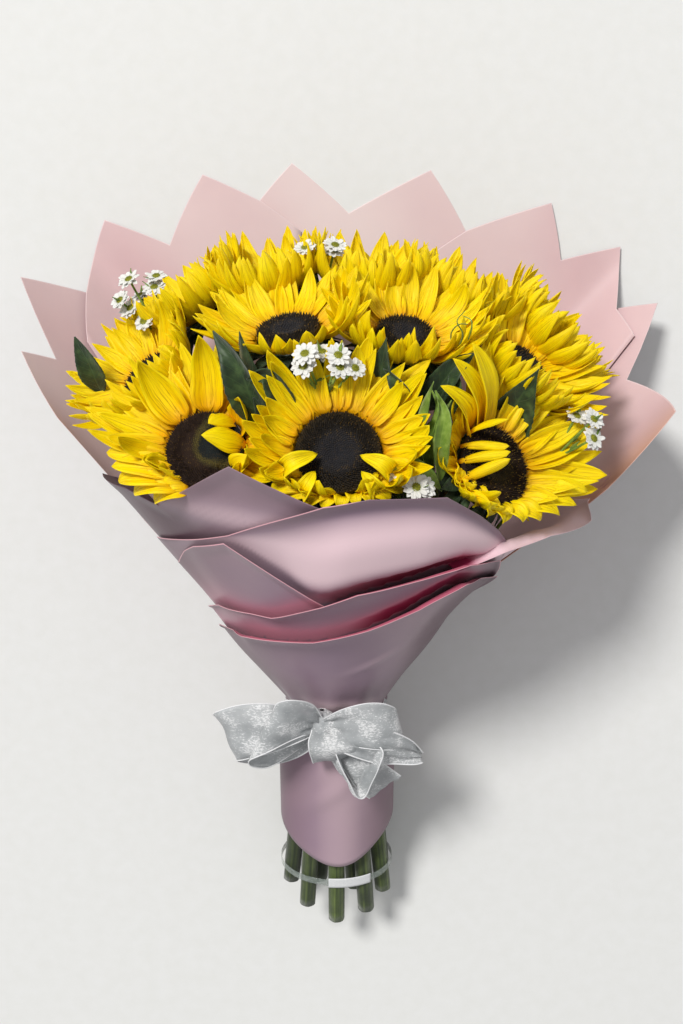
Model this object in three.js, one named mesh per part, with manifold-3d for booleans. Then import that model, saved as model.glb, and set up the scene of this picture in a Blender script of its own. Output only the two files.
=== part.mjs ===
// A wrapped bunch of twelve cut sunflowers with daisy sprays, lying on its back.
// Lengths are in millimetres, +Z is up, and the flowers point towards +Y.

import * as THREE from 'three';
import { mergeVertices } from 'three/addons/utils/BufferGeometryUtils.js';
import Module from 'manifold-3d';

const wasm = await Module();
wasm.setup();

const rad = THREE.MathUtils.degToRad;
const vec = (x, y, z) => new THREE.Vector3(x, y, z);

// Clearance between pieces that touch, and the finest detail that a solid keeps
const GAP = 0.3;
const SMALLEST_DETAIL = 0.12;
const ROD_TOLERANCE = 0.5;

// The middle of the bunch's underside, where its own frame has its origin
const ORIGIN = vec(0.04, -26.84, 0);

// Bunch axis: it rises from the cut ends to the flowers
const NECK = vec(-4, -129, 82);
const AXIS_LIFT = rad(18);
const AXIS = vec(0, Math.cos(AXIS_LIFT), Math.sin(AXIS_LIFT));
const RIGHT = vec(1, 0, 0);
const FRONT = vec(0, -Math.sin(AXIS_LIFT), Math.cos(AXIS_LIFT));

// Stems, held in one ring and an inner pair at the tie, which runs from TIED behind the neck to TIE_TOP
const STEM_RADIUS = 6.6;
const STEM_SIDES = 7;
const STEM_STEPS = 40;
const RING_RADIUS = 22;
const INNER_RADIUS = 8.3;
const TIED = 12;
const TIE_TOP = 18;
const TIE_BEND = 8;
const SPREAD_WIDE = 0.75;
const SPREAD_HIGH = 0.15;
const SPREAD_REACH = 160;

// Flower heads
const RING_TOP = -1.5;
const RING_BOTTOM = -5.7;
const RECEPTACLE_DEPTH = 17;
const RECEPTACLE_SIDES = 10;
const NECK_BEND = 26;
const PETAL_THICK = 1.3;
const PETAL_WIDTH = 0.27;
const PETAL_CUP = 0.16;
const PETAL_GAP = 1.3;
const WALL_GAP = 4.5;
const LOWEST_PETAL = 8;
const BRACT_WIDTH = 11;
const BRACTS_SHOWN = 6;
const BRACTS_HIDDEN = 4;

// Leaves
const LEAF_ROWS = 7;
const LEAF_TOOTH = 0.84;
const LEAF_STALK = 1.7;
const LEAF_HALF_THICK = 0.5;

// Daisy sprays
const SPRAY_RING = 26.1;
const SPRAY_STEM = 1.6;
const SPRAY_FORK = 34;
const DAISY_STALK = 0.9;
const DAISY_RADIUS = 8;
const DAISY_PETALS = 7;

// Paper wrap. Its sheets flare from FLARE_START, and the right side opens wider past RIGHT_FROM.
const PAPER = 0.8;
const PAPER_NECK = 30;
const FLARE_START = 10;
const LAYER_STEP = 1.8;
const LAYER_FAN = 0.02;
const FLOOR_STEP = 1.6;
const COLUMN_STEP = 15;
const FIRST_COLUMN = -36;
const LAST_COLUMN = 372;
const NEAREST_COLUMNS = 4;
const NEAREST_ROWS = 4;
const SHEET_FOOT = -8;
const ROWS = [SHEET_FOOT, FLARE_START, 30, 60, 100, 150, 200, 250, 300, 350];
const RIM_ROW = 1000;
const LIP_DEPTH = 12;
const SIDE_SLOPE = 0.83;
const FRONT_EASE = 0.41;
const FRONT_SHIFT = 0.5;
const RIGHT_PINCH = 0.1;
const RIGHT_FLARE = 0.17;
const RIGHT_FROM = 80;
const RIGHT_OVER = 100;

// Skirt of paper below the tie
const SKIRT_STEP = 20;
const SKIRT_ROWS = 4;
const SKIRT_SIDE = 100;
const SKIRT_FRONT = 30;
const SKIRT_WIDER = 12;
const SKIRT_HIGHER = 6;
const SKIRT_SWELL = 45;

// Ribbon
const RIBBON = 0.8;
const BAND_SIDES = 24;
const BAND_RADIUS = 39.1;
const BAND_FROM = -20;
const BAND_TO = 8;
const KNOT_AT = vec(-10, 46.8, -1);
const KNOT_SIZE = vec(12, 15, 9.8);

// Tape round the cut stems
const TAPE = 0.8;
const TAPE_FROM = -158;
const TAPE_TO = -146;

// Each head: centre of its disc, facing, disc radius, petals and their length
const HEADS = [
  { name: 'front_middle', at: vec(-2, 81, 252), turn: 0, lift: 63, disc: 26, petals: 18, length: 50 },
  { name: 'front_left', at: vec(-86, 79, 222), turn: -22, lift: 58, disc: 25, petals: 16, length: 50 },
  { name: 'front_right', at: vec(96, 68, 222), turn: 58, lift: 46, disc: 26, petals: 18, length: 52 },
  { name: 'middle_left', at: vec(-34, 152, 200), turn: -10, lift: 24, disc: 20, petals: 15, length: 46 },
  { name: 'middle_right', at: vec(41, 149, 195), turn: 8, lift: 32, disc: 19, petals: 15, length: 46 },
  { name: 'side_left', at: vec(-128, 118, 160), turn: -42, lift: 34, disc: 20, petals: 13, length: 48 },
  { name: 'side_right', at: vec(119, 125, 160), turn: 42, lift: 34, disc: 20, petals: 13, length: 48 },
  { name: 'back_left', at: vec(-98, 166, 116), turn: -34, lift: 14, disc: 18, petals: 11, length: 44 },
  { name: 'back_middle_left', at: vec(-49, 180, 130), turn: -12, lift: 16, disc: 18, petals: 11, length: 44 },
  { name: 'back_middle_right', at: vec(19, 180, 130), turn: 6, lift: 16, disc: 18, petals: 11, length: 44 },
  { name: 'back_right', at: vec(81, 166, 122), turn: 22, lift: 16, disc: 18, petals: 11, length: 44 },
  { name: 'far_right', at: vec(140, 140, 108), turn: 48, lift: 16, disc: 18, petals: 11, length: 44 },
];

// Each stem: its angle in the bundle, and how far behind the neck it is cut
const STEMS = {
  front_middle: { slot: 90, cut: 194 },
  front_left: { slot: 126, cut: 182 },
  front_right: { slot: 54, cut: 188 },
  middle_left: { slot: 162, cut: 172, inner: true },
  middle_right: { slot: 18, cut: 180, inner: true },
  side_left: { slot: 162, cut: 168 },
  side_right: { slot: 18, cut: 178 },
  back_left: { slot: 198, cut: 165 },
  back_middle_left: { slot: 234, cut: 162 },
  back_middle_right: { slot: 270, cut: 162 },
  back_right: { slot: 306, cut: 162 },
  far_right: { slot: 342, cut: 164 },
};

// Each leaf grows on one stem and stands between two heads
const LEAVES = [
  { stem: 'front_left', by: 'middle_left', mix: 0.5, reach: [232, 325], shift: -4, width: 46, sway: 5 },
  { stem: 'front_middle', by: 'front_right', mix: 0.42, reach: [236, 322], shift: 6, width: 26, sway: 4 },
  { stem: 'front_right', by: 'front_middle', mix: 0.42, reach: [228, 300], shift: -14, width: 24, sway: -4 },
  { stem: 'middle_right', by: 'front_middle', mix: 0.5, reach: [255, 325], shift: 4, width: 34, sway: -4 },
  { stem: 'side_left', by: 'back_left', mix: 0.5, reach: [232, 312], shift: 36, width: 38, sway: 4 },
  { stem: 'side_right', by: 'front_right', mix: 0.5, reach: [240, 318], shift: 0, width: 40, sway: 4 },
];

// Each spray: its groove between two ring stems and the middle of its flowers
const SPRAYS = [
  { name: 'left', groove: 180, at: vec(-136, 172, 130), daisies: 3 },
  { name: 'back', groove: 252, at: vec(-14, 203, 148), daisies: 2 },
  { name: 'middle', groove: 108, at: vec(-12, 138, 246), daisies: 3 },
  { name: 'front', groove: 72, at: vec(41, 68, 262), daisies: 2 },
  { name: 'right', groove: 36, at: vec(156, 92, 200), daisies: 2 },
  { name: 'low_left', groove: 144, at: vec(-124, 104, 204), daisies: 1 },
];

// Each sheet: its layer from the inside out, and its free edge as pairs of angle and reach
const SHEETS = [
  { name: 'back_far_left', layer: 1,
    edge: [[178, 140], [187, 180], [187.5, 221], [195, 257], [203, 240], [209, 288], [220, 265],
      [228, 255]] },
  { name: 'back_left', layer: 0,
    edge: [[213, 240], [219, 267], [230, 306], [240, 283], [249.5, 322], [258, 302], [264, 282]] },
  { name: 'back_middle', layer: 1,
    edge: [[252, 280], [258, 301], [263.5, 323], [272, 292], [284, 320], [291.5, 284], [300, 268]] },
  { name: 'back_right', layer: 0,
    edge: [[287, 270], [292, 286], [304, 309], [310, 276], [319, 292], [325, 256], [331, 244]] },
  { name: 'back_far_right', layer: 1,
    edge: [[319, 244], [324, 254], [330, 264], [335.5, 219], [354.5, 227], [366, 175]] },
  { name: 'front_left', layer: 0,
    edge: [[88, 218], [94, 229], [105, 241], [118, 254], [150, 200], [162, 202], [183, 186], [198, 160]] },
  { name: 'front_right', layer: 0,
    edge: [[-26, 130], [-6, 160], [6, 180], [16, 184], [29, 193], [39, 189], [50, 176]] },
  { name: 'front_main', layer: 1,
    edge: [[24, 150], [32, 171], [41.5, 195], [51, 216], [62, 237], [81.5, 240], [93, 234], [126, 193],
      [154, 167]] },
  { name: 'front_low', layer: 2,
    edge: [[86, 127], [95, 143], [125, 191], [150, 172], [168, 140], [196, 104]] },
  { name: 'pocket_upper', layer: 3, lip: 5,
    edge: [[18, 130], [34, 166], [51, 181], [62, 174], [83, 165], [94.5, 152], [115, 132], [147, 119],
      [170, 96]] },
  { name: 'pocket_lower', layer: 4, lip: 6,
    edge: [[0, 98], [22, 138], [49, 163], [61, 144], [78, 130], [98.5, 117], [127.5, 110], [166, 84],
      [180, 68]] },
];

const COLOURS = {
  petal: [0xf2cf00, 0.55],
  disc: [0x2a1c18, 0.9],
  stem: [0x4b5a2e, 0.6],
  spray: [0xe9ecdf, 0.6],
  back: [0xe2bfc0, 0.5],
  front: [0x9a8089, 0.45],
  ribbon: [0xb4b6b8, 0.35],
  tape: [0xe6e8e8, 0.2],
};

// Closed meshes and joined solids

function closedGeometry(points, faces) {
  const geometry = new THREE.BufferGeometry();
  geometry.setAttribute('position', new THREE.Float32BufferAttribute(points.flatMap((p) => p.toArray()), 3));
  geometry.setIndex(faces);
  return geometry;
}

function solid(geometry) {
  const bare = geometry.clone();
  bare.deleteAttribute('normal');
  bare.deleteAttribute('uv');
  const merged = mergeVertices(bare, 1e-4);
  const position = merged.getAttribute('position');
  const index = Uint32Array.from(merged.getIndex().array);
  let volume = 0;
  const [a, b, c] = [vec(), vec(), vec()];
  for (let i = 0; i < index.length; i += 3) {
    a.fromBufferAttribute(position, index[i]);
    b.fromBufferAttribute(position, index[i + 1]);
    c.fromBufferAttribute(position, index[i + 2]);
    volume += a.dot(b.cross(c));
  }
  if (volume < 0) index.reverse();
  const mesh = new wasm.Mesh({
    numProp: 3,
    vertProperties: Float32Array.from(position.array),
    triVerts: index,
  });
  return new wasm.Manifold(mesh);
}

function joined(solids) {
  let whole = solids[0];
  for (const piece of solids.slice(1)) whole = whole.add(piece);
  return whole;
}

function largest(whole) {
  const pieces = whole.decompose();
  return pieces.reduce((best, piece) => (piece.volume() > best.volume() ? piece : best));
}

const bunch = new THREE.Group();

function place(name, whole, colour) {
  const tidy = largest(whole.simplify(SMALLEST_DETAIL));
  const mesh = tidy.getMesh();
  const geometry = new THREE.BufferGeometry();
  geometry.setAttribute('position', new THREE.Float32BufferAttribute(mesh.vertProperties, 3));
  geometry.setIndex(Array.from(mesh.triVerts));
  geometry.computeVertexNormals();
  const [color, roughness] = COLOURS[colour];
  const material = new THREE.MeshStandardMaterial({ color, roughness, side: THREE.DoubleSide });
  const node = new THREE.Mesh(geometry, material);
  node.name = name;
  bunch.add(node);
}

// Repeatable draws between two limits, by a linear congruential rule
const DRAW_FACTOR = 1664525;
const DRAW_STEP = 1013904223;
const DRAW_RANGE = 2 ** 32;

function draws(seed) {
  let state = seed;
  return (low, high) => {
    state = (Math.imul(state, DRAW_FACTOR) + DRAW_STEP) >>> 0;
    return low + (high - low) * (state / DRAW_RANGE);
  };
}

// A closed skin over rings of equally many points, ending in one tip point or a flat end
function loft(rings, tip) {
  const count = rings[0].length;
  const points = rings.flat();
  const faces = [];
  for (let k = 1; k < count - 1; k += 1) faces.push(0, k + 1, k);
  for (let i = 0; i + 1 < rings.length; i += 1) {
    for (let k = 0; k < count; k += 1) {
      const here = i * count + k;
      const next = i * count + (k + 1) % count;
      if (k % 2 === 0) {
        faces.push(here, next, next + count, here, next + count, here + count);
      } else {
        faces.push(here, next, here + count, next, next + count, here + count);
      }
    }
  }
  const last = (rings.length - 1) * count;
  if (tip) {
    points.push(tip);
    for (let k = 0; k < count; k += 1) faces.push(last + k, last + (k + 1) % count, points.length - 1);
  } else {
    for (let k = 1; k < count - 1; k += 1) faces.push(last, last + k, last + k + 1);
  }
  return solid(closedGeometry(points, faces));
}

// A thin plate from columns of points, each with its half thickness and its row value.
// Both faces are split into the same triangles.
function plate(columns) {
  const points = [];
  const faces = [];
  const numbered = columns.map((column) => column.map((point) => {
    points.push(point.mid.clone().add(point.half), point.mid.clone().sub(point.half));
    return { upper: points.length - 2, lower: points.length - 1, row: point.row };
  }));
  const wall = (a, b) => faces.push(a.upper, b.upper, b.lower, a.upper, b.lower, a.lower);
  const face = (a, b, c) => {
    faces.push(a.upper, b.upper, c.upper);
    faces.push(a.lower, c.lower, b.lower);
  };
  for (let i = 0; i + 1 < numbered.length; i += 1) {
    const [left, right] = [numbered[i], numbered[i + 1]];
    let [l, r] = [0, 0];
    while (l + 1 < left.length || r + 1 < right.length) {
      const leftNext = l + 1 < left.length ? left[l + 1].row : Infinity;
      const rightNext = r + 1 < right.length ? right[r + 1].row : Infinity;
      if (leftNext <= rightNext) {
        face(left[l], right[r], left[l + 1]);
        l += 1;
      } else {
        face(left[l], right[r], right[r + 1]);
        r += 1;
      }
    }
    wall(right[0], left[0]);
    wall(left[left.length - 1], right[right.length - 1]);
  }
  const [first, last] = [numbered[0], numbered[numbered.length - 1]];
  for (let j = 0; j + 1 < first.length; j += 1) wall(first[j], first[j + 1]);
  for (let j = 0; j + 1 < last.length; j += 1) wall(last[j + 1], last[j]);
  return solid(closedGeometry(points, faces));
}

function polygon(radius, sides) {
  const shape = new THREE.Shape();
  for (let k = 0; k < sides; k += 1) {
    const turn = (2 * Math.PI * (k + 0.5)) / sides;
    const corner = [radius * Math.cos(turn), radius * Math.sin(turn)];
    if (k === 0) shape.moveTo(...corner);
    else shape.lineTo(...corner);
  }
  shape.closePath();
  return shape;
}

function rod(points, radius, sides, steps) {
  const extrudePath = new THREE.CatmullRomCurve3(points, false, 'centripetal');
  const tube = new THREE.ExtrudeGeometry(polygon(radius, sides), { steps, extrudePath, bevelEnabled: false });
  return solid(tube).simplify(ROD_TOLERANCE);
}

function lathe(profile, sides, matrix) {
  const outline = profile.map(([r, z]) => new THREE.Vector2(r, z));
  const geometry = new THREE.LatheGeometry(outline, sides);
  geometry.rotateX(Math.PI / 2);
  geometry.applyMatrix4(matrix);
  return solid(geometry);
}

// Places in the bundle, on the axis and among the heads

function bundlePoint(wide, high, along) {
  return NECK.clone()
    .addScaledVector(RIGHT, wide)
    .addScaledVector(FRONT, high)
    .addScaledVector(AXIS, along);
}

function slotPoint(angle, radius, along) {
  const back = Math.max(0, -along - TIED) / SPREAD_REACH;
  const wide = radius * Math.cos(angle) * (1 + SPREAD_WIDE * back);
  const high = radius * Math.sin(angle) * (1 + SPREAD_HIGH * back);
  return bundlePoint(wide, high, along);
}

// The stretch of a stem from behind the tie to just above it, and on towards a point among the heads
function tiedRoute(angle, radius, end, shares) {
  const neck = slotPoint(angle, radius, TIE_TOP);
  return [
    slotPoint(angle, radius, -TIED - TIE_BEND),
    slotPoint(angle, radius, -TIED + TIE_BEND),
    slotPoint(angle, radius, TIE_TOP - TIE_BEND),
    ...shares.map((share) => neck.clone().lerp(end, share)),
  ];
}

function headMatrix(head) {
  const [turn, lift] = [rad(head.turn), rad(head.lift)];
  const across = vec(Math.cos(turn), -Math.sin(turn), 0);
  const facing = vec(Math.cos(lift) * Math.sin(turn), Math.cos(lift) * Math.cos(turn), Math.sin(lift));
  const upward = facing.clone().cross(across);
  return new THREE.Matrix4().makeBasis(across, upward, facing).setPosition(head.at);
}

const HEAD_BY_NAME = Object.fromEntries(HEADS.map((head) => [head.name, head]));
for (const head of HEADS) {
  Object.assign(head, STEMS[head.name]);
  head.shown = head.name.startsWith('front');
  head.sparse = head.name.startsWith('back') || head.name.startsWith('far');
  head.sides = head.shown ? 14 : 9;
  head.matrix = headMatrix(head);
  head.toward = head.at.clone().sub(NECK).normalize();
}

function paperSlope(angle, reach) {
  const front = Math.max(0, (Math.sin(angle) + FRONT_SHIFT) / (1 + FRONT_SHIFT));
  const right = Math.max(0, Math.cos(angle));
  const opened = THREE.MathUtils.clamp((reach - RIGHT_FROM) / RIGHT_OVER, 0, 1);
  const side = THREE.MathUtils.lerp(-RIGHT_PINCH, RIGHT_FLARE, opened);
  return SIDE_SLOPE - FRONT_EASE * front * front * (3 - 2 * front) + side * right * right;
}

function paperRadius(angle, reach, layer) {
  const slope = paperSlope(angle, reach) + LAYER_FAN * layer;
  return PAPER_NECK + LAYER_STEP * layer + Math.max(0, reach - FLARE_START) * slope;
}

function paperPoint(angle, reach, layer) {
  const radius = paperRadius(angle, reach, layer);
  const mid = bundlePoint(radius * Math.cos(angle), radius * Math.sin(angle), reach);
  const lowest = PAPER / 2 + FLOOR_STEP * Math.max(0, 1 - layer);
  const inward = RIGHT.clone().multiplyScalar(-Math.cos(angle)).addScaledVector(FRONT, -Math.sin(angle));
  if (reach > FLARE_START) inward.addScaledVector(AXIS, paperSlope(angle, reach)).normalize();
  if (mid.z < lowest) {
    mid.z = lowest;
    inward.set(0, 0, 1);
  }
  return { mid, half: inward.multiplyScalar(PAPER / 2), row: reach };
}

// Things that petals keep clear of, as balls
const obstacles = [];

function keepClear(point, radius) {
  obstacles.push({ point: point.clone(), radius });
}

function clearOfOthers(point, owner, margin) {
  const from = point.clone().sub(NECK);
  for (const other of HEADS) {
    if (other === owner) continue;
    const away = owner.toward.clone().sub(other.toward).normalize();
    if (from.dot(away) < margin) return false;
  }
  for (const ball of obstacles) {
    if (point.distanceTo(ball.point) < ball.radius + margin) return false;
  }
  const along = from.dot(AXIS);
  const [side, up] = [from.dot(RIGHT), from.dot(FRONT)];
  const wall = paperRadius(Math.atan2(up, side), along, 0) - WALL_GAP;
  return Math.hypot(side, up) < wall && point.z > LOWEST_PETAL;
}

// Petals. Each step runs from one share of the length to the next, and bends by its last number.

const PETAL_STEPS = [[0, 0.4, 0.4], [0.4, 0.78, 0.9], [0.78, 1, 1.15]];
const SPARSE_STEPS = [[0, 0.5, 0.5], [0.5, 1, 1]];
const MOST_RISE = rad(168);
const STEEPEST_PETAL = rad(118);
const PETAL_TRIES = 3;

function petalFrames(head, spin, start, length, cup, curl) {
  const frames = [];
  const outward = vec(Math.cos(spin), Math.sin(spin), 0);
  const sideways = vec(-Math.sin(spin), Math.cos(spin), 0);
  const steps = head.sparse ? SPARSE_STEPS : PETAL_STEPS;
  const spot = outward.clone().multiplyScalar(head.disc + 1.6).setZ(start);
  const lift = (share) => Math.min(cup * share + curl * share * share, MOST_RISE);
  frames.push({ spot: spot.clone(), rise: lift(0.15) });
  for (const [from, to, share] of steps) {
    const rise = lift(share);
    const stride = length * (to - from);
    spot.addScaledVector(outward, stride * Math.cos(rise));
    spot.z += stride * Math.sin(rise);
    frames.push({ spot: spot.clone(), rise });
  }
  return { frames, outward, sideways };
}

function petal(head, draw, spin, upper) {
  const width = draw(0.9, 1.1) * PETAL_WIDTH * head.length;
  const widths = head.sparse ? [0.5, 1] : [0.5, 1, 0.75];
  let length = head.length * draw(0.92, 1.08);
  const start = upper ? RING_TOP - 1.8 : RING_BOTTOM + 1.2;
  const base = rad(upper ? draw(30, 44) : draw(10, 22));
  const curl = rad(draw(0, 14)) + (head.curls ? head.curls(spin, draw) : 0);
  for (let attempt = 0; attempt < PETAL_TRIES; attempt += 1) {
    for (let cup = base; cup < STEEPEST_PETAL; cup += rad(6)) {
      const { frames, outward, sideways } = petalFrames(head, spin, start, length, cup, curl);
      const clear = frames.slice(1).every((frame, i) => [0.3, 0.65, 1].every((t) => {
        const reach = THREE.MathUtils.lerp(widths[i], widths[i + 1] ?? 0, t) * width * 0.5;
        const spot = frames[i].spot.clone().lerp(frame.spot, t);
        return [-1, 0, 1].every((side) => {
          const point = spot.clone().addScaledVector(sideways, side * reach).applyMatrix4(head.matrix);
          return clearOfOthers(point, head, PETAL_GAP);
        });
      }));
      if (!clear) continue;
      const rings = frames.slice(0, -1).map((frame, i) => {
        const half = widths[i] * width * 0.5;
        const normal = outward.clone().multiplyScalar(-Math.sin(frame.rise)).setZ(Math.cos(frame.rise));
        const edge = normal.clone().multiplyScalar(half * PETAL_CUP);
        return [
          frame.spot.clone().addScaledVector(sideways, half).add(edge),
          frame.spot.clone().addScaledVector(sideways, -half).add(edge),
          frame.spot.clone().addScaledVector(normal, -PETAL_THICK),
        ].map((point) => point.applyMatrix4(head.matrix));
      });
      return loft(rings, frames[frames.length - 1].spot.clone().applyMatrix4(head.matrix));
    }
    length *= 0.8;
  }
  return null;
}

function petalRing(head, seed) {
  const draw = draws(seed);
  const inner = head.disc - 2;
  const outer = head.disc + 3.2;
  const profile = [[inner, RING_BOTTOM], [outer, RING_BOTTOM], [outer, RING_TOP], [inner, RING_BOTTOM]];
  const pieces = [lathe(profile, head.sides, head.matrix)];
  const layer = Math.ceil(head.petals / 2);
  for (let i = 0; i < head.petals; i += 1) {
    const upper = i >= layer;
    const turn = (i % layer) + (upper ? 0.5 : 0);
    const spin = (2 * Math.PI * (turn + draw(-0.12, 0.12))) / layer;
    const piece = petal(head, draw, spin, upper);
    if (piece) pieces.push(piece);
  }
  return joined(pieces);
}

// Disc of florets: a low dome whose points rise and fall from one to the next

function discSolid(head) {
  const sides = head.sides;
  const domes = head.shown ? 3 : 2;
  const plug = head.disc - 2.4;
  const brim = head.disc + 0.4;
  const profile = [[plug, RING_BOTTOM], [plug, RING_TOP + GAP], [brim, RING_TOP + GAP], [brim, 0.6]];
  const rings = profile.map(([r, z]) => ringPoints(r, z, sides, 0));
  for (let k = 1; k <= domes; k += 1) {
    const share = 1 - k / (domes + 0.6);
    const swell = 2.4 + 1.6 * Math.sin(Math.PI * share) - 2.2 * Math.exp(-((share / 0.3) ** 2));
    rings.push(ringPoints(head.disc * share, swell, sides, 0.7 * (k % 2 ? 1 : -1)));
  }
  return loft(rings.map((ring) => ring.map((point) => point.applyMatrix4(head.matrix))));
}

function ringPoints(radius, height, sides, relief) {
  return Array.from({ length: sides }, (_, k) => {
    const spin = (2 * Math.PI * k) / sides;
    return vec(radius * Math.sin(spin), -radius * Math.cos(spin), height + (k % 2 ? relief : -relief));
  });
}

// Receptacle with its bracts

function receptacle(head) {
  const r = head.disc;
  const top = RING_BOTTOM - GAP;
  const profile = [[0, top], [r, top], [r * 0.85, top - 7], [STEM_RADIUS + 2, top - 13], [0, top - 13]];
  return lathe(profile, RECEPTACLE_SIDES, head.matrix);
}

function bract(head, spin, length) {
  const outward = vec(Math.cos(spin), Math.sin(spin), 0);
  const sideways = vec(-Math.sin(spin), Math.cos(spin), 0);
  const root = outward.clone().multiplyScalar(head.disc - 3).setZ(RING_BOTTOM - 3);
  for (let droop = rad(2); droop < rad(80); droop += rad(8)) {
    const run = outward.clone().multiplyScalar(Math.cos(droop)).setZ(-Math.sin(droop));
    const normal = outward.clone().multiplyScalar(Math.sin(droop)).setZ(Math.cos(droop));
    const tip = root.clone().addScaledVector(run, length).addScaledVector(normal, -2);
    const clear = [0.35, 0.55, 0.75, 1].every((t) => {
      const point = root.clone().lerp(tip, t).applyMatrix4(head.matrix);
      return clearOfOthers(point, head, 2 + 4 * (1 - t));
    });
    if (!clear) continue;
    const ring = [
      root.clone().addScaledVector(sideways, BRACT_WIDTH / 2),
      root.clone().addScaledVector(normal, 0.8),
      root.clone().addScaledVector(sideways, -BRACT_WIDTH / 2),
      root.clone().addScaledVector(normal, -1),
    ].map((point) => point.applyMatrix4(head.matrix));
    return loft([ring], tip.applyMatrix4(head.matrix));
  }
  return null;
}

// Stems

function stemPoints(head) {
  const angle = rad(head.slot);
  const radius = head.inner ? INNER_RADIUS : RING_RADIUS;
  const facing = vec().setFromMatrixColumn(head.matrix, 2);
  const collar = head.at.clone().addScaledVector(facing, -RECEPTACLE_DEPTH);
  const bend = head.at.clone().addScaledVector(facing, -RECEPTACLE_DEPTH - NECK_BEND);
  return [
    slotPoint(angle, radius, -head.cut),
    slotPoint(angle, radius, -head.cut * 0.6),
    ...tiedRoute(angle, radius, bend, [0.03, 0.35, 0.7]),
    bend.clone().lerp(collar, 0.12),
    collar,
  ];
}

function leafSolid(leaf) {
  const owner = HEAD_BY_NAME[leaf.stem];
  const beside = HEAD_BY_NAME[leaf.by];
  const toward = owner.toward.clone().lerp(beside.toward, leaf.mix).normalize();
  const normal = beside.toward.clone().sub(owner.toward).normalize();
  const across = toward.clone().cross(normal).normalize();
  const columns = [-1, 0, 1].map((side) => {
    const column = [];
    for (let j = 0; j <= LEAF_ROWS; j += 1) {
      const t = j / LEAF_ROWS;
      const body = Math.sin(Math.PI * Math.pow(t, 0.75)) ** 0.8;
      const tooth = Math.abs(side) === 1 && j % 2 ? LEAF_TOOTH : 1;
      const half = Math.max(1.4, (leaf.width / 2) * body * tooth);
      const reach = THREE.MathUtils.lerp(leaf.reach[0], leaf.reach[1], t) - Math.abs(side) * half * 0.2;
      const mid = NECK.clone()
        .addScaledVector(toward, reach)
        .addScaledVector(across, leaf.shift + leaf.sway * Math.sin(2 * t) + side * half);
      mid.addScaledVector(normal, 0.7 * Math.sin(5 * t + 2 * side));
      column.push({ mid, half: normal.clone().multiplyScalar(LEAF_HALF_THICK), row: j });
    }
    return column;
  });
  for (const column of columns) {
    for (const point of column) keepClear(point.mid, 2.2);
  }
  const base = columns[1][0].mid.clone();
  const path = new THREE.CatmullRomCurve3(stemPoints(owner), false, 'centripetal');
  const samples = path.getSpacedPoints(60);
  const wanted = leaf.reach[0] - 48;
  const joint = samples.reduce((best, point) => {
    const miss = Math.abs(point.distanceTo(NECK) - wanted) + (point.y < NECK.y ? 1000 : 0);
    return miss < best.miss ? { point, miss } : best;
  }, { point: samples[0], miss: Infinity }).point;
  const into = columns[1][1].mid.clone();
  const half = joint.clone().lerp(base, 0.55).addScaledVector(toward, -6);
  keepClear(half.clone().lerp(base, 0.5), 3);
  return [plate(columns), rod([joint, half, base.lerp(into, 0.4)], LEAF_STALK, 4, 3)];
}

// Sprays of small daisies

function daisyPoints(spray, draw) {
  const toward = spray.at.clone().sub(NECK).normalize();
  const across = toward.clone().cross(vec(0, 0, 1)).normalize();
  const upward = across.clone().cross(toward).normalize();
  const spots = [];
  for (let k = 0; k < spray.daisies; k += 1) {
    const spin = (2 * Math.PI * (k + draw(-0.15, 0.15))) / spray.daisies + 0.6;
    const far = 7.5 + 1.5 * spray.daisies;
    const spot = spray.at.clone()
      .addScaledVector(across, far * Math.cos(spin))
      .addScaledVector(upward, far * Math.sin(spin))
      .addScaledVector(toward, draw(-4, 4));
    spots.push(spot);
  }
  return spots;
}

function daisy(spot, facing) {
  const count = DAISY_PETALS * 2;
  const guide = Math.abs(facing.z) > 0.9 ? vec(1, 0, 0) : vec(0, 0, 1);
  const across = facing.clone().cross(guide).normalize();
  const upward = facing.clone().cross(across);
  const matrix = new THREE.Matrix4().makeBasis(across, upward, facing).setPosition(spot);
  const points = [vec(0, 0, -2.4), vec(0, 0, 2.2)];
  for (let k = 0; k < count; k += 1) {
    const spin = (2 * Math.PI * k) / count;
    const radius = DAISY_RADIUS * (k % 2 ? 0.5 : 1);
    const [x, y, lift] = [radius * Math.cos(spin), radius * Math.sin(spin), k % 2 ? 0 : 1.2];
    points.push(vec(x, y, lift - 0.6), vec(x, y, lift + 0.4));
  }
  const faces = [];
  for (let k = 0; k < count; k += 1) {
    const [a, b] = [2 + 2 * k, 2 + 2 * ((k + 1) % count)];
    faces.push(0, b, a, a, b, b + 1, a, b + 1, a + 1, 1, a + 1, b + 1);
  }
  return solid(closedGeometry(points.map((point) => point.applyMatrix4(matrix)), faces));
}

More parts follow.
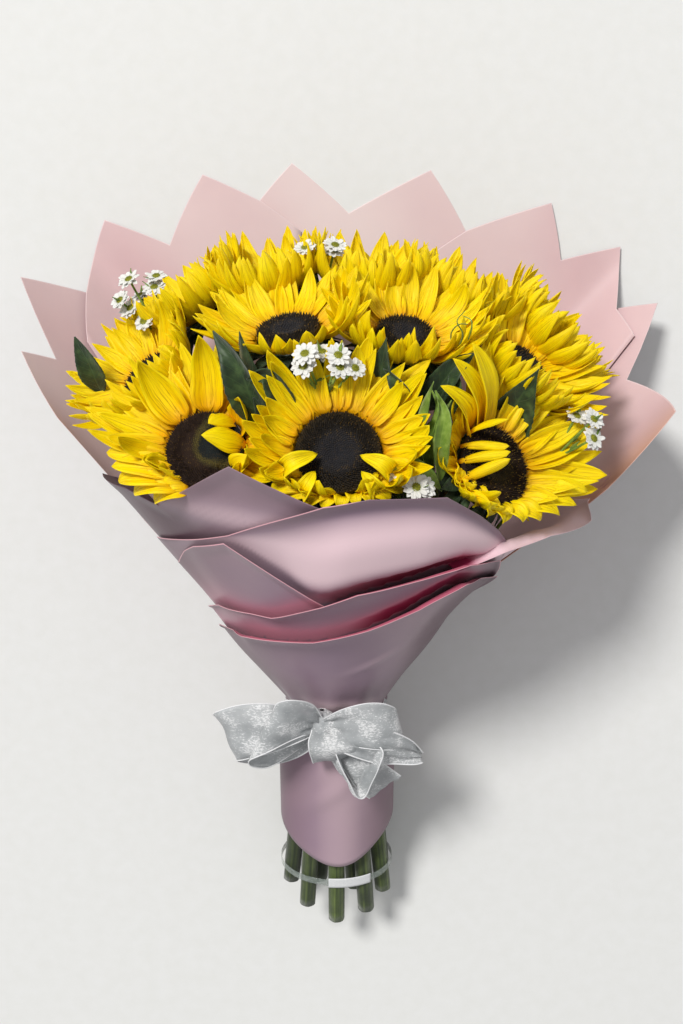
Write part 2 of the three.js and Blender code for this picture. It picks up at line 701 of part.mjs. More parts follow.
function spraySolid(spray, seed) {
  const draw = draws(seed);
  const angle = rad(spray.groove);
  const toward = spray.at.clone().sub(NECK).normalize();
  const neck = slotPoint(angle, SPRAY_RING, TIE_TOP);
  const fork = spray.at.clone().addScaledVector(toward, -SPRAY_FORK);
  const main = [
    slotPoint(angle, SPRAY_RING, -118),
    slotPoint(angle, SPRAY_RING, -70),
    ...tiedRoute(angle, SPRAY_RING, fork, [0.03, 0.5, 1]),
    fork.clone().addScaledVector(toward, 6),
  ];
  const pieces = [rod(main, SPRAY_STEM, 5, 48)];
  for (let t = 0; t <= 1; t += 0.02) keepClear(neck.clone().lerp(fork, t), SPRAY_STEM + 1);
  for (const spot of daisyPoints(spray, draw)) {
    const facing = spot.clone().sub(fork).normalize().addScaledVector(vec(0, 0.2, 0.9), 0.6).normalize();
    const back = spot.clone().addScaledVector(facing, -2);
    const bend = fork.clone().lerp(back, 0.6).addScaledVector(facing, -3);
    pieces.push(rod([fork, bend, back, spot], DAISY_STALK, 3, 3));
    pieces.push(daisy(spot, facing));
    keepClear(spot, DAISY_RADIUS + 0.6);
    for (let t = 0; t <= 1; t += 0.1) keepClear(fork.clone().lerp(back, t).lerp(bend, 0.5), 3);
  }
  return joined(pieces);
}

// Paper sheets

function edgeReach(edge, angle) {
  for (let i = 0; i + 1 < edge.length; i += 1) {
    const [[a0, r0], [a1, r1]] = [edge[i], edge[i + 1]];
    if (angle >= a0 && angle <= a1) return r0 + ((r1 - r0) * (angle - a0)) / (a1 - a0);
  }
  return edge[edge.length - 1][1];
}

function isBack(sheet) {
  return sheet.name.startsWith('back');
}

// Back sheets lie on each other, so they share their corners' columns. The others keep their own.
function columnAngles(sheet) {
  const corners = sheet.edge.map(([angle]) => angle);
  const [from, to] = [corners[0], corners[corners.length - 1]];
  const shared = new Set(corners);
  for (let angle = FIRST_COLUMN; angle <= LAST_COLUMN; angle += COLUMN_STEP) shared.add(angle);
  for (const other of SHEETS) {
    if (isBack(sheet) && isBack(other)) other.edge.forEach(([angle]) => shared.add(angle));
  }
  const inside = [...shared].filter((angle) => angle >= from && angle <= to).sort((a, b) => a - b);
  return inside.filter((angle, i) => {
    return corners.includes(angle) || i === 0 || angle - inside[i - 1] >= NEAREST_COLUMNS;
  });
}

function sheetSolid(sheet) {
  const columns = columnAngles(sheet).map((degrees) => {
    const angle = rad(degrees);
    const top = edgeReach(sheet.edge, degrees);
    const rows = ROWS.filter((row) => row < top - NEAREST_ROWS);
    const column = rows.map((row) => paperPoint(angle, row, sheet.layer));
    const above = ROWS.find((row) => row >= top - NEAREST_ROWS);
    const below = rows[rows.length - 1];
    const ruled = (reach) => {
      const [low, high] = [paperPoint(angle, below, sheet.layer), paperPoint(angle, above, sheet.layer)];
      const mid = low.mid.clone().lerp(high.mid, (reach - below) / (above - below));
      return { mid, half: low.half.clone(), row: RIM_ROW };
    };
    const rim = ruled(top);
    if (sheet.lip) {
      column.push({ ...ruled(top - LIP_DEPTH), row: RIM_ROW - 1 });
      const outward = rim.half.clone().normalize().multiplyScalar(-sheet.lip);
      rim.mid.add(outward);
    }
    column.push(rim);
    return column;
  });
  return plate(columns);
}

function skirtSolid() {
  const columns = [];
  const top = SHEET_FOOT - 0.5;
  for (let degrees = -60; degrees <= 240; degrees += SKIRT_STEP) {
    const angle = rad(degrees);
    const front = Math.max(0, Math.sin(angle));
    const bottom = -(SKIRT_SIDE + SKIRT_FRONT * front ** 1.5);
    const column = [];
    for (let j = 0; j <= SKIRT_ROWS; j += 1) {
      const along = THREE.MathUtils.lerp(bottom, top, 1 - (1 - j / SKIRT_ROWS) ** 1.5);
      const swell = Math.sin((Math.PI / 2) * Math.min(1, (top - along) / SKIRT_SWELL));
      const wider = SKIRT_WIDER * Math.cos(angle) ** 2 + SKIRT_HIGHER * Math.sin(angle) ** 2;
      const radius = PAPER_NECK + LAYER_STEP + swell * wider;
      const inward = RIGHT.clone().multiplyScalar(-Math.cos(angle)).addScaledVector(FRONT, -Math.sin(angle));
      const mid = bundlePoint(0, 0, along).addScaledVector(inward, -radius);
      column.push({ mid, half: inward.multiplyScalar(PAPER / 2), row: j });
    }
    columns.push(column);
  }
  return plate(columns);
}

// Organza ribbon: band, knot, loops and tail in one

function band(radiusWide, radiusHigh, from, to, thick) {
  const loop = (grow, along) => Array.from({ length: BAND_SIDES }, (_, k) => {
    const angle = (2 * Math.PI * k) / BAND_SIDES;
    return bundlePoint((radiusWide + grow) * Math.cos(angle), (radiusHigh + grow) * Math.sin(angle), along);
  });
  const loops = [loop(0, from), loop(thick, from), loop(thick, to), loop(0, to)];
  const faces = [];
  for (let ring = 0; ring < loops.length; ring += 1) {
    for (let k = 0; k < BAND_SIDES; k += 1) {
      const next = (k + 1) % BAND_SIDES;
      const [a, b] = [ring * BAND_SIDES, ((ring + 1) % loops.length) * BAND_SIDES];
      faces.push(a + k, a + next, b + next, a + k, b + next, b + k);
    }
  }
  return solid(closedGeometry(loops.flat(), faces));
}

// A strip of ribbon through rows of place and width, in the bow's own directions
function strip(rows, across, origin) {
  const spots = rows.map(([x, down, out]) => origin.clone()
    .addScaledVector(RIGHT, x).addScaledVector(AXIS, -down).addScaledVector(FRONT, out));
  const columns = [-1, 1].map((side) => rows.map((row, i) => {
    const before = spots[Math.max(0, i - 1)];
    const after = spots[Math.min(spots.length - 1, i + 1)];
    const run = after.clone().sub(before).normalize();
    const normal = run.clone().cross(across).normalize();
    const mid = spots[i].clone().addScaledVector(across, (side * row[3]) / 2);
    return { mid, half: normal.multiplyScalar(RIBBON / 2), row: i };
  }));
  return plate(columns);
}

// Each strip of the bow: rows of across, down, out and width, and the way that its width points
const BOW_STRIPS = [
  { points: [0, -1],
    rows: [[-2, 0, 3, 14], [-22, -1, 12, 30], [-48, 1, 17, 42], [-70, 4, 12, 46], [-77, 6, 3, 46],
      [-64, 6, -5, 44], [-40, 4, -6, 38], [-18, 2, -3, 24], [-2, 0, -2, 14]] },
  { points: [0, 1],
    rows: [[2, 0, 3, 14], [22, -2, 12, 28], [46, -1, 16, 38], [65, 2, 11, 40], [72, 4, 3, 40],
      [58, 4, -5, 38], [36, 3, -5, 32], [16, 1, -3, 22], [2, 0, -2, 14]] },
  { points: [1, -0.35],
    rows: [[2, 3, 4, 14], [8, 22, 13, 28], [16, 44, 14, 36], [21, 57, 7, 38], [21, 58, 0, 38],
      [14, 40, -3, 32], [6, 18, -2, 20], [2, 3, -1, 14]] },
  { points: [0.7, -0.72],
    rows: [[3, 2, 2, 12], [20, 16, 8, 22], [40, 34, 8, 30], [58, 54, 1, 34]] },
];

function bowSolid() {
  const origin = bundlePoint(KNOT_AT.x, KNOT_AT.y, KNOT_AT.z);
  const direction = ([x, down]) => RIGHT.clone().multiplyScalar(x).addScaledVector(AXIS, -down).normalize();
  const knot = new THREE.SphereGeometry(1, 10, 6);
  knot.applyMatrix4(new THREE.Matrix4().makeBasis(RIGHT, AXIS, FRONT).scale(KNOT_SIZE).setPosition(origin));
  const radius = BAND_RADIUS - RIBBON / 2;
  return joined([
    band(radius, radius, BAND_FROM, BAND_TO, RIBBON),
    solid(knot),
    ...BOW_STRIPS.map((piece) => strip(piece.rows, direction(piece.points), origin)),
  ]);
}

function tapeSolid() {
  const back = (-TAPE_FROM - TIED) / SPREAD_REACH;
  const clear = STEM_RADIUS + 2 * GAP;
  const wide = RING_RADIUS * (1 + SPREAD_WIDE * back) + clear;
  const high = RING_RADIUS * (1 + SPREAD_HIGH * back) + clear;
  return band(wide, high, TAPE_FROM, TAPE_TO, TAPE);
}

// Petals of two front heads curl in over their discs
const curlToward = (middle, spread, amount) => (spin, draw) => {
  const off = Math.abs(Math.atan2(Math.sin(spin - rad(middle)), Math.cos(spin - rad(middle))));
  return off < rad(spread) ? rad(amount) * draw(0.85, 1.15) : 0;
};
HEAD_BY_NAME.front_left.curls = curlToward(0, 50, 70);
HEAD_BY_NAME.front_right.curls = curlToward(180, 62, 92);
HEAD_BY_NAME.front_middle.curls = curlToward(-90, 100, 38);

// The bunch. Sprays and leaves come first because the petals make room for them.
SPRAYS.forEach((spray, i) => place(`daisy_spray_${spray.name}`, spraySolid(spray, 40 + i), 'spray'));
const leafPieces = LEAVES.map((leaf) => ({ stem: leaf.stem, pieces: leafSolid(leaf) }));

HEADS.forEach((head, i) => {
  const draw = draws(300 + i);
  const stem = [rod(stemPoints(head), STEM_RADIUS, STEM_SIDES, STEM_STEPS), receptacle(head)];
  const bracts = head.sparse ? BRACTS_HIDDEN : BRACTS_SHOWN;
  for (let k = 0; k < bracts; k += 1) {
    const piece = bract(head, (2 * Math.PI * (k + draw(-0.1, 0.1))) / bracts, draw(19, 22));
    if (piece) stem.push(piece);
  }
  leafPieces.filter((leaf) => leaf.stem === head.name).forEach((leaf) => stem.push(...leaf.pieces));
  place(`stem_${head.name}`, joined(stem), 'stem');
  place(`disc_${head.name}`, discSolid(head), 'disc');
  place(`petals_${head.name}`, petalRing(head, 100 + i), 'petal');
});

for (const sheet of SHEETS) {
  place(`paper_${sheet.name}`, sheetSolid(sheet), isBack(sheet) ? 'back' : 'front');
}
place('paper_skirt', skirtSolid(), 'front');
place('organza_ribbon', bowSolid(), 'ribbon');
place('stem_tape', tapeSolid(), 'tape');

bunch.position.copy(ORIGIN).negate();

export default bunch;
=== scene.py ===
# A wrapped bunch of cut sunflowers lying on its back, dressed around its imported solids.
# Places are worked out in millimetres in the bunch's working frame, whose origin lies on the
# surface below the wrap, and moved to the part's own frame in metres when a mesh is made.

import math

import bpy
import numpy as np
from mathutils import Matrix


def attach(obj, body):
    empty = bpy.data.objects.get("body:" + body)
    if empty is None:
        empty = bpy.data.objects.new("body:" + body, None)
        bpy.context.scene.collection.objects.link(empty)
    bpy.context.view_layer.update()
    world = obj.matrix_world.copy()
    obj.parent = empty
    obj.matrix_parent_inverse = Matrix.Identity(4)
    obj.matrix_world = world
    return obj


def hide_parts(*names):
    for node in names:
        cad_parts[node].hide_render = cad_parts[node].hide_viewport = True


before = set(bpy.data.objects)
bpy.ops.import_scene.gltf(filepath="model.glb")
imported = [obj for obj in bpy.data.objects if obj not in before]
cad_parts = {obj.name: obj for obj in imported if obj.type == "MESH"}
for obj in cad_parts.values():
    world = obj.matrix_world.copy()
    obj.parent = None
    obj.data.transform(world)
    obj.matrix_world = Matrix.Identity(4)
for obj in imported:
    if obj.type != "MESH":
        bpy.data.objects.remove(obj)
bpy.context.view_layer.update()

# Where the part's own origin lies in the working frame, in millimetres
ORIGIN = np.array((0.04, -26.84, 0.0))
METRE = 0.001

# Camera: how it looks down on the bunch, in the working frame
VIEW_LIFT = math.radians(80)
VIEW_DISTANCE = 1130.0
LENS = 50.0
SENSOR = 36.0
CLIP_END = 20.0

# Bunch axis: it rises from the cut ends to the flowers
NECK = np.array((-4.0, -129.0, 82.0))
AXIS_LIFT = math.radians(18)
AXIS = np.array((0.0, math.cos(AXIS_LIFT), math.sin(AXIS_LIFT)))
RIGHT = np.array((1.0, 0.0, 0.0))
FRONT = np.array((0.0, -math.sin(AXIS_LIFT), math.cos(AXIS_LIFT)))

# Stems, tied from TIED behind the neck to TIE_TOP above it
STEM_RADIUS = 6.6
RING_RADIUS = 22.0
INNER_RADIUS = 8.3
TIED = 12.0
TIE_TOP = 18.0
TIE_BEND = 8.0
SPREAD_WIDE = 0.75
SPREAD_HIGH = 0.15
SPREAD_REACH = 160.0
RECEPTACLE_DEPTH = 17.0
NECK_BEND = 26.0
RING_BOTTOM = -5.7
RING_TOP = -1.5
SPRAY_RING = 26.1
SPRAY_STEM = 1.6
SPRAY_FORK = 34.0

# A stem cut further back than this is paler, and a leaf's stalk leaves its stem so far before the leaf
LONG_CUT = 175
STALK_DROP = 48

# Paper wrap. Its sheets flare from FLARE_START, and the right side opens wider past RIGHT_FROM.
PAPER_NECK = 30.0
FLARE_START = 10.0
LAYER_STEP = 1.8
LAYER_FAN = 0.02
FLOOR_STEP = 1.6
FLOOR_CURVE = 6.0
SHEET_FOOT = -8.0
SIDE_SLOPE = 0.83
FRONT_EASE = 0.41
FRONT_SHIFT = 0.5
RIGHT_PINCH = 0.1
RIGHT_FLARE = 0.17
RIGHT_FROM = 80.0
RIGHT_OVER = 100.0
PAPER = 0.35
PAPER_HALF = 0.4
WALL_GAP = 4.5
PETAL_GAP = 2.5

# Skirt of paper below the tie
SKIRT_TOP = -8.5
SKIRT_SIDE = 100.0
SKIRT_FRONT = 30.0
SKIRT_WIDER = 12.0
SKIRT_HIGHER = 6.0
SKIRT_SWELL = 45.0
NECK_FOLD_FROM = 1.0
NECK_FOLD_RADIUS = 38.2

# Ribbon, knot and tape
BAND_RADIUS = 39.1
BAND_FROM = -20.0
BAND_TO = 8.0
KNOT_AT = (10.0, -10.0, 46.8)
TAPE_FROM = -155.0
TAPE_TO = -149.0
KNOT_HALF = (11.5, 14.5, 9.3)
THREAD_RADIUS = 0.5
BAND_THREAD_RADIUS = 0.32
LABEL_DEGREES = (53, 98)
LABEL_HALF = 4.6

# How thick the thin parts are
PETAL_THICK = 0.35
LEAF_THICK = 0.4
DAISY_THICK = 0.25
RIBBON_THICK = 0.16
TAPE_THICK = 0.3
LABEL_THICK = 0.25

# Light from one disc and a plain sky, and how far the floor goes, in metres
LIGHT_AT = (-3.1, 4.5, 6.9)
LIGHT_TOWARD = (0.0, 0.0, 0.1)
LIGHT_SIZE = 2.0
LIGHT_POWER = 672
LIGHT_COLOUR = (1.0, 0.99, 0.97)
SKY_COLOUR = (0.97, 0.98, 1.0, 1.0)
SKY_STRENGTH = 0.48
FLOOR_REACH = 5.0

# Seeds of the draws for each kind of piece, to which its number is added
PETAL_SEED = 500
DISC_SEED = 700
STEM_SEED = 900
SPRAY_SEED = 1100
DRAW_SEED = 40
RIBBON_SEED = 77

GOLDEN = math.pi * (3 - math.sqrt(5))

# Each head: centre of its disc, the way it faces, disc radius, petal length, petals in its layers
HEADS = [
    ("front_middle", (-2, 81, 252), 0, 63, 26, 50, (23, 21, 16)),
    ("front_left", (-86, 79, 222), -22, 58, 25, 52, (23, 21, 16)),
    ("front_right", (96, 68, 222), 58, 46, 26, 56, (25, 23, 17)),
    ("middle_left", (-34, 152, 200), -10, 24, 20, 46, (21, 20, 16)),
    ("middle_right", (41, 149, 195), 8, 32, 19, 46, (21, 20, 16)),
    ("side_left", (-128, 118, 160), -42, 34, 20, 45, (21, 20, 17)),
    ("side_right", (119, 125, 160), 42, 34, 20, 48, (21, 20, 17)),
    ("back_left", (-98, 166, 116), -34, 14, 18, 44, (20, 19, 17)),
    ("back_middle_left", (-49, 180, 130), -12, 16, 18, 44, (20, 19, 17)),
    ("back_middle_right", (19, 180, 130), 6, 16, 18, 44, (20, 19, 17)),
    ("back_right", (81, 166, 122), 22, 16, 18, 44, (20, 19, 17)),
    ("far_right", (140, 140, 108), 48, 16, 18, 44, (20, 19, 17)),
]

# Each stem: its angle in the bundle, how far behind the neck it is cut, whether it is an inner one
STEMS = {
    "front_middle": (90, 194, False),
    "front_left": (126, 182, False),
    "front_right": (54, 188, False),
    "middle_left": (162, 172, True),
    "middle_right": (18, 180, True),
    "side_left": (162, 168, False),
    "side_right": (18, 178, False),
    "back_left": (198, 165, False),
    "back_middle_left": (234, 162, False),
    "back_middle_right": (270, 162, False),
    "back_right": (306, 162, False),
    "far_right": (342, 164, False),
}

# Slots of the materials on a stem
GREEN, DARK_LEAF, CUT, BRIGHT_LEAF = range(4)

# Each leaf grows on one stem and stands between two heads: share of the way to the second, reach,
# shift, width, sway and material
LEAVES = [
    ("front_left", "middle_left", 0.5, (232, 325), -4, 46, 5, DARK_LEAF),
    ("front_middle", "front_right", 0.42, (236, 322), 6, 26, 4, BRIGHT_LEAF),
    ("front_right", "front_middle", 0.42, (228, 300), -14, 24, -4, BRIGHT_LEAF),
    ("middle_right", "front_middle", 0.5, (255, 325), 4, 34, -4, DARK_LEAF),
    ("side_left", "back_left", 0.5, (232, 312), 36, 38, 4, DARK_LEAF),
    ("side_right", "front_right", 0.5, (240, 318), 0, 40, 4, DARK_LEAF),
]

# Each spray: its groove between two ring stems, the middle of its flowers and their number
SPRAYS = [
    ("left", 180, (-136, 172, 130), 3),
    ("back", 252, (-14, 203, 148), 2),
    ("middle", 108, (-12, 138, 246), 3),
    ("front", 72, (41, 68, 262), 2),
    ("right", 36, (156, 92, 200), 2),
    ("low_left", 144, (-124, 108, 197), 1),
]

# Each sheet: its layer from the inside out, and its free edge as pairs of angle and reach
SHEETS = {
    "back_far_left": (1, [(183.5, 150), (187, 180), (187.5, 221), (195, 257), (203, 240), (209, 288),
                          (220, 265), (228, 255)]),
    "back_left": (0, [(213, 240), (219, 267), (230, 306), (240, 283), (249.5, 322), (258, 302), (264, 282)]),
    "back_middle": (1, [(252, 280), (258, 301), (263.5, 323), (272, 292), (284, 320), (291.5, 284),
                        (300, 268)]),
    "back_right": (0, [(287, 270), (292, 286), (304, 309), (310, 276), (319, 292), (325, 256), (331, 244)]),
    "back_far_right": (1, [(319, 244), (324, 254), (330, 264), (335.5, 219), (354.5, 227), (366, 175)]),
    "front_left": (0, [(88, 218), (94, 229), (105, 241), (118, 254), (150, 200), (162, 202), (183, 186),
                       (198, 160)]),
    "front_right": (0, [(-26, 130), (-6, 160), (6, 180), (16, 184), (29, 193), (39, 189), (50, 176)]),
    "front_main": (1, [(24, 150), (32, 171), (41.5, 195), (51, 216), (62, 237), (81.5, 240), (93, 234),
                       (126, 193), (154, 167), (172, 150)]),
    "front_low": (2, [(86, 127), (95, 143), (125, 191), (140, 176), (153, 158), (168, 134), (196, 100)]),
    "pocket_upper": (3, [(18, 130), (34, 166), (51, 181), (62, 174), (83, 165), (94.5, 152), (115, 132),
                         (147, 119), (170, 96)]),
    "pocket_lower": (4, [(0, 98), (22, 138), (49, 163), (61, 144), (78, 130), (98.5, 117), (127.5, 110),
                         (166, 84), (180, 68)]),
}


# Points, vectors and repeatable draws

UP = np.array((0.0, 0.0, 1.0))


def unit(vectors):
    return vectors / np.maximum(np.linalg.norm(vectors, axis=-1, keepdims=True), 1e-9)


def to_frame(points):
    return (np.asarray(points, float) - ORIGIN) * METRE


def smooth(low, high, value):
    share = np.clip((value - low) / (high - low), 0, 1)
    return share * share * (3 - 2 * share)


def bell(value, middle, width):
    """1 at the middle, falling softly to 0 on both sides."""
    return np.exp(-((value - middle) / width) ** 2)


def ray(angle):
    return np.array((math.cos(angle), math.sin(angle), 0.0))


def grid_steps(rows, cols):
    """Shares from 0 to 1 down the rows of a grid, and from -1 to 1 across its columns."""
    return np.linspace(0, 1, rows)[:, None], np.linspace(-1, 1, cols)[None]


def turned(side, normal, turn):
    """Two vectors at right angles, turned in their own plane."""
    return side * np.cos(turn) + normal * np.sin(turn), normal * np.cos(turn) - side * np.sin(turn)


def beside(line, side, normal, wide, high):
    """A grid of points along a line: wide to its side and high along its normal."""
    return line[:, None] + side[:, None] * wide[..., None] + normal[:, None] * high[..., None]


def spiral(count):
    """Places in a golden spiral: their share of the radius and their angle."""
    number = np.arange(count) + 0.5
    return np.sqrt(number / count), number * GOLDEN


def spline(points, steps):
    """The centripetal curve through points, that the stems of the solids follow too."""
    points = np.asarray(points, float)
    full = np.vstack((2 * points[0] - points[1], points, 2 * points[-1] - points[-2]))
    places = np.linspace(0, len(points) - 1, steps + 1)
    spans = np.minimum(places.astype(int), len(points) - 2)
    t = (places - spans)[:, None]
    p0, p1, p2, p3 = (full[spans + k] for k in range(4))
    d0, d1, d2 = (np.sqrt(np.linalg.norm(b - a, axis=1))[:, None] for a, b in ((p0, p1), (p1, p2), (p2, p3)))
    m1 = ((p1 - p0) / d0 - (p2 - p0) / (d0 + d1) + (p2 - p1) / d1) * d1
    m2 = ((p2 - p1) / d1 - (p3 - p1) / (d1 + d2) + (p3 - p2) / d2) * d1
    start = (2 * t**3 - 3 * t**2 + 1) * p1 + (t**3 - 2 * t**2 + t) * m1
    return start + (3 * t**2 - 2 * t**3) * p2 + (t**3 - t**2) * m2


def even(path, count):
    """The same path as count points that lie evenly along it."""
    runs = np.concatenate(([0], np.cumsum(np.linalg.norm(np.diff(path, axis=0), axis=1))))
    places = np.linspace(0, runs[-1], count)
    return np.stack([np.interp(places, runs, path[:, k]) for k in range(path.shape[1])], axis=1)


def bundle_point(along, wide, high):
    """Points of the bundle: along its axis from the neck, to the right and to the front."""
    along, wide, high = (np.asarray(x, float)[..., None] for x in (along, wide, high))
    return NECK + AXIS * along + RIGHT * wide + FRONT * high


def around(along, radius, angle):
    """Points at a distance from the bundle's axis and an angle round it."""
    return bundle_point(along, radius * np.cos(angle), radius * np.sin(angle))


def slot_point(angle, radius, along):
    """A point of a stem at its slot in the bundle, which spreads behind the tie."""
    back = max(0.0, -along - TIED) / SPREAD_REACH
    wide = radius * math.cos(angle) * (1 + SPREAD_WIDE * back)
    high = radius * math.sin(angle) * (1 + SPREAD_HIGH * back)
    return bundle_point(along, wide, high)


def tied_route(angle, radius, end, shares):
    """A stem from behind the tie to just above it, and on towards a point among the heads."""
    held = (-TIED - TIE_BEND, -TIED + TIE_BEND, TIE_TOP - TIE_BEND)
    neck = slot_point(angle, radius, TIE_TOP)
    return [slot_point(angle, radius, along) for along in held] + [neck + (end - neck) * s for s in shares]


# Meshes

# What each point carries for the shaders
VALUE_NAMES = ("along", "across", "tone")


def put(name, data):
    """A new object in the scene."""
    thing = bpy.data.objects.new(name, data)
    bpy.context.scene.collection.objects.link(thing)
    return thing


class Shape:
    """The points and faces of one piece, with three values a point that its shader reads."""

    def __init__(self):
        self.points, self.values = [], []
        self.faces, self.slots = [], []
        self.count = 0

    def add(self, points, faces, along=0.0, across=0.0, tone=0.0):
        """Points with their values, and faces as pairs of a material slot and rows of corners."""
        points = np.asarray(points, float).reshape(-1, 3)
        values = [np.broadcast_to(np.ravel(value), len(points)) for value in (along, across, tone)]
        self.points.append(points)
        self.values.append(np.stack(values, axis=1))
        for slot, corners in faces:
            self.faces.append(np.asarray(corners, int) + self.count)
            self.slots.append(np.full(len(corners), slot))
        self.count += len(points)

    def piece(self, name, materials, flat=False):
        corners = np.concatenate([face.ravel() for face in self.faces])
        sizes = np.concatenate([np.full(len(face), face.shape[1]) for face in self.faces])
        mesh = bpy.data.meshes.new(name)
        mesh.vertices.add(self.count)
        mesh.vertices.foreach_set("co", to_frame(np.concatenate(self.points)).ravel().astype(np.float32))
        mesh.loops.add(len(corners))
        mesh.polygons.add(len(sizes))
        mesh.polygons.foreach_set("loop_start", (np.cumsum(sizes) - sizes).astype(np.int32))
        mesh.polygons.foreach_set("vertices", corners.astype(np.int32))
        mesh.update(calc_edges=True)
        mesh.polygons.foreach_set("material_index", np.concatenate(self.slots).astype(np.int32))
        mesh.polygons.foreach_set("use_smooth", np.full(len(sizes), not flat))
        values = np.concatenate(self.values).astype(np.float32)
        for column, label in enumerate(VALUE_NAMES):
            attribute = mesh.attributes.new(label, "FLOAT", "POINT")
            attribute.data.foreach_set("value", np.ascontiguousarray(values[:, column]))
        mesh.validate()
        for material in materials:
            mesh.materials.append(material)
        return put(name, mesh)


def dress(piece, slot, *nodes):
    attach(piece, "root")
    if nodes:
        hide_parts(*nodes)
    return piece


def thin(shape, grid, thickness, slots=(0, 0, 0), along=0.0, across=0.0, tone=0.0):
    """A closed thin sheet round a grid of points: its upper face, its lower face and its rim."""
    rows, cols = grid.shape[:2]
    size = rows * cols
    offset = unit(np.cross(np.gradient(grid, axis=1), np.gradient(grid, axis=0))) * thickness / 2
    index = np.arange(size).reshape(rows, cols)
    quads = np.stack((index[:-1, :-1], index[:-1, 1:], index[1:, 1:], index[1:, :-1]), axis=-1)
    quads = quads.reshape(-1, 4)
    rim = np.concatenate((index[0], index[1:, -1], index[-1, -2::-1], index[-2:0:-1, 0]))
    after = np.roll(rim, -1)
    edge = np.stack((rim, rim + size, after + size, after), axis=1)
    values = [np.tile(np.broadcast_to(value, (rows, cols)).ravel(), 2) for value in (along, across, tone)]
    faces = zip(slots, (quads, quads[:, ::-1] + size, edge))
    shape.add(np.concatenate((grid + offset, grid - offset)), faces, *values)


def ring_faces(count, sides):
    """Walls between rings of points, and the two ends round two middle points that come last."""
    index = np.arange(count * sides).reshape(count, sides)
    after = np.roll(index, -1, axis=1)
    walls = np.stack((index[:-1], after[:-1], after[1:], index[1:]), axis=-1).reshape(-1, 4)
    middle = np.full(sides, count * sides)
    near = np.stack((middle, after[0], index[0]), axis=1)
    far = np.stack((middle + 1, index[-1], after[-1]), axis=1)
    return walls, near, far


def lathe(profile, sides, foot, top):
    """Rings of each radius and height of a profile, closed at the heights foot and top."""
    turn = np.arange(sides) * 2 * math.pi / sides
    reach, height = np.array(profile, float).T[..., None]
    rings = np.stack((reach * np.cos(turn), reach * np.sin(turn), height + 0 * turn), axis=-1)
    points = np.vstack((rings.reshape(-1, 3), (0, 0, foot), (0, 0, top)))
    return points, ring_faces(len(profile), sides)


def tube(shape, path, radii, sides, slot=0, end_slot=None, tone=0.0):
    """A closed tube along path. radii is one number, one a ring, or one for each ring and side."""
    count = len(path)
    tangent = unit(np.gradient(path, axis=0))
    side = np.zeros_like(path)
    side[0] = unit(np.cross(tangent[0], UP if abs(tangent[0][2]) < 0.9 else RIGHT))
    for i in range(1, count):
        side[i] = unit(side[i - 1] - tangent[i] * np.dot(side[i - 1], tangent[i]))
    turn = (np.arange(sides) * 2 * math.pi / sides)[None, :, None]
    spread = side[:, None] * np.cos(turn) + np.cross(tangent, side)[:, None] * np.sin(turn)
    radii = np.asarray(radii, float)
    radii = radii[:, None] if radii.ndim == 1 else radii
    rings = path[:, None] + spread * np.broadcast_to(radii, (count, sides))[..., None]
    points = np.vstack((rings.reshape(-1, 3), path[0], path[-1]))
    walls, near, far = ring_faces(count, sides)
    ends = slot if end_slot is None else end_slot
    lengthwise = np.append(np.repeat(np.linspace(0, 1, count), sides), (0, 1))
    crosswise = np.append(np.tile(np.arange(sides) / sides, count), (0, 0))
    shape.add(points, [(slot, walls), (ends, near), (ends, far)], lengthwise, crosswise, tone)


# Shaders

# How much brighter the lights are than a white sheet would need
LIGHT_GAIN = 1.2


def linear(code, gain=LIGHT_GAIN):
    """What share of the light a surface gives back to look like code, such as f5dd00, on a screen."""
    values = [int(code[i:i + 2], 16) / 255 for i in (0, 2, 4)]
    return [(v / 12.92 if v <= 0.04045 else ((v + 0.055) / 1.055) ** 2.4) / gain for v in values] + [1.0]


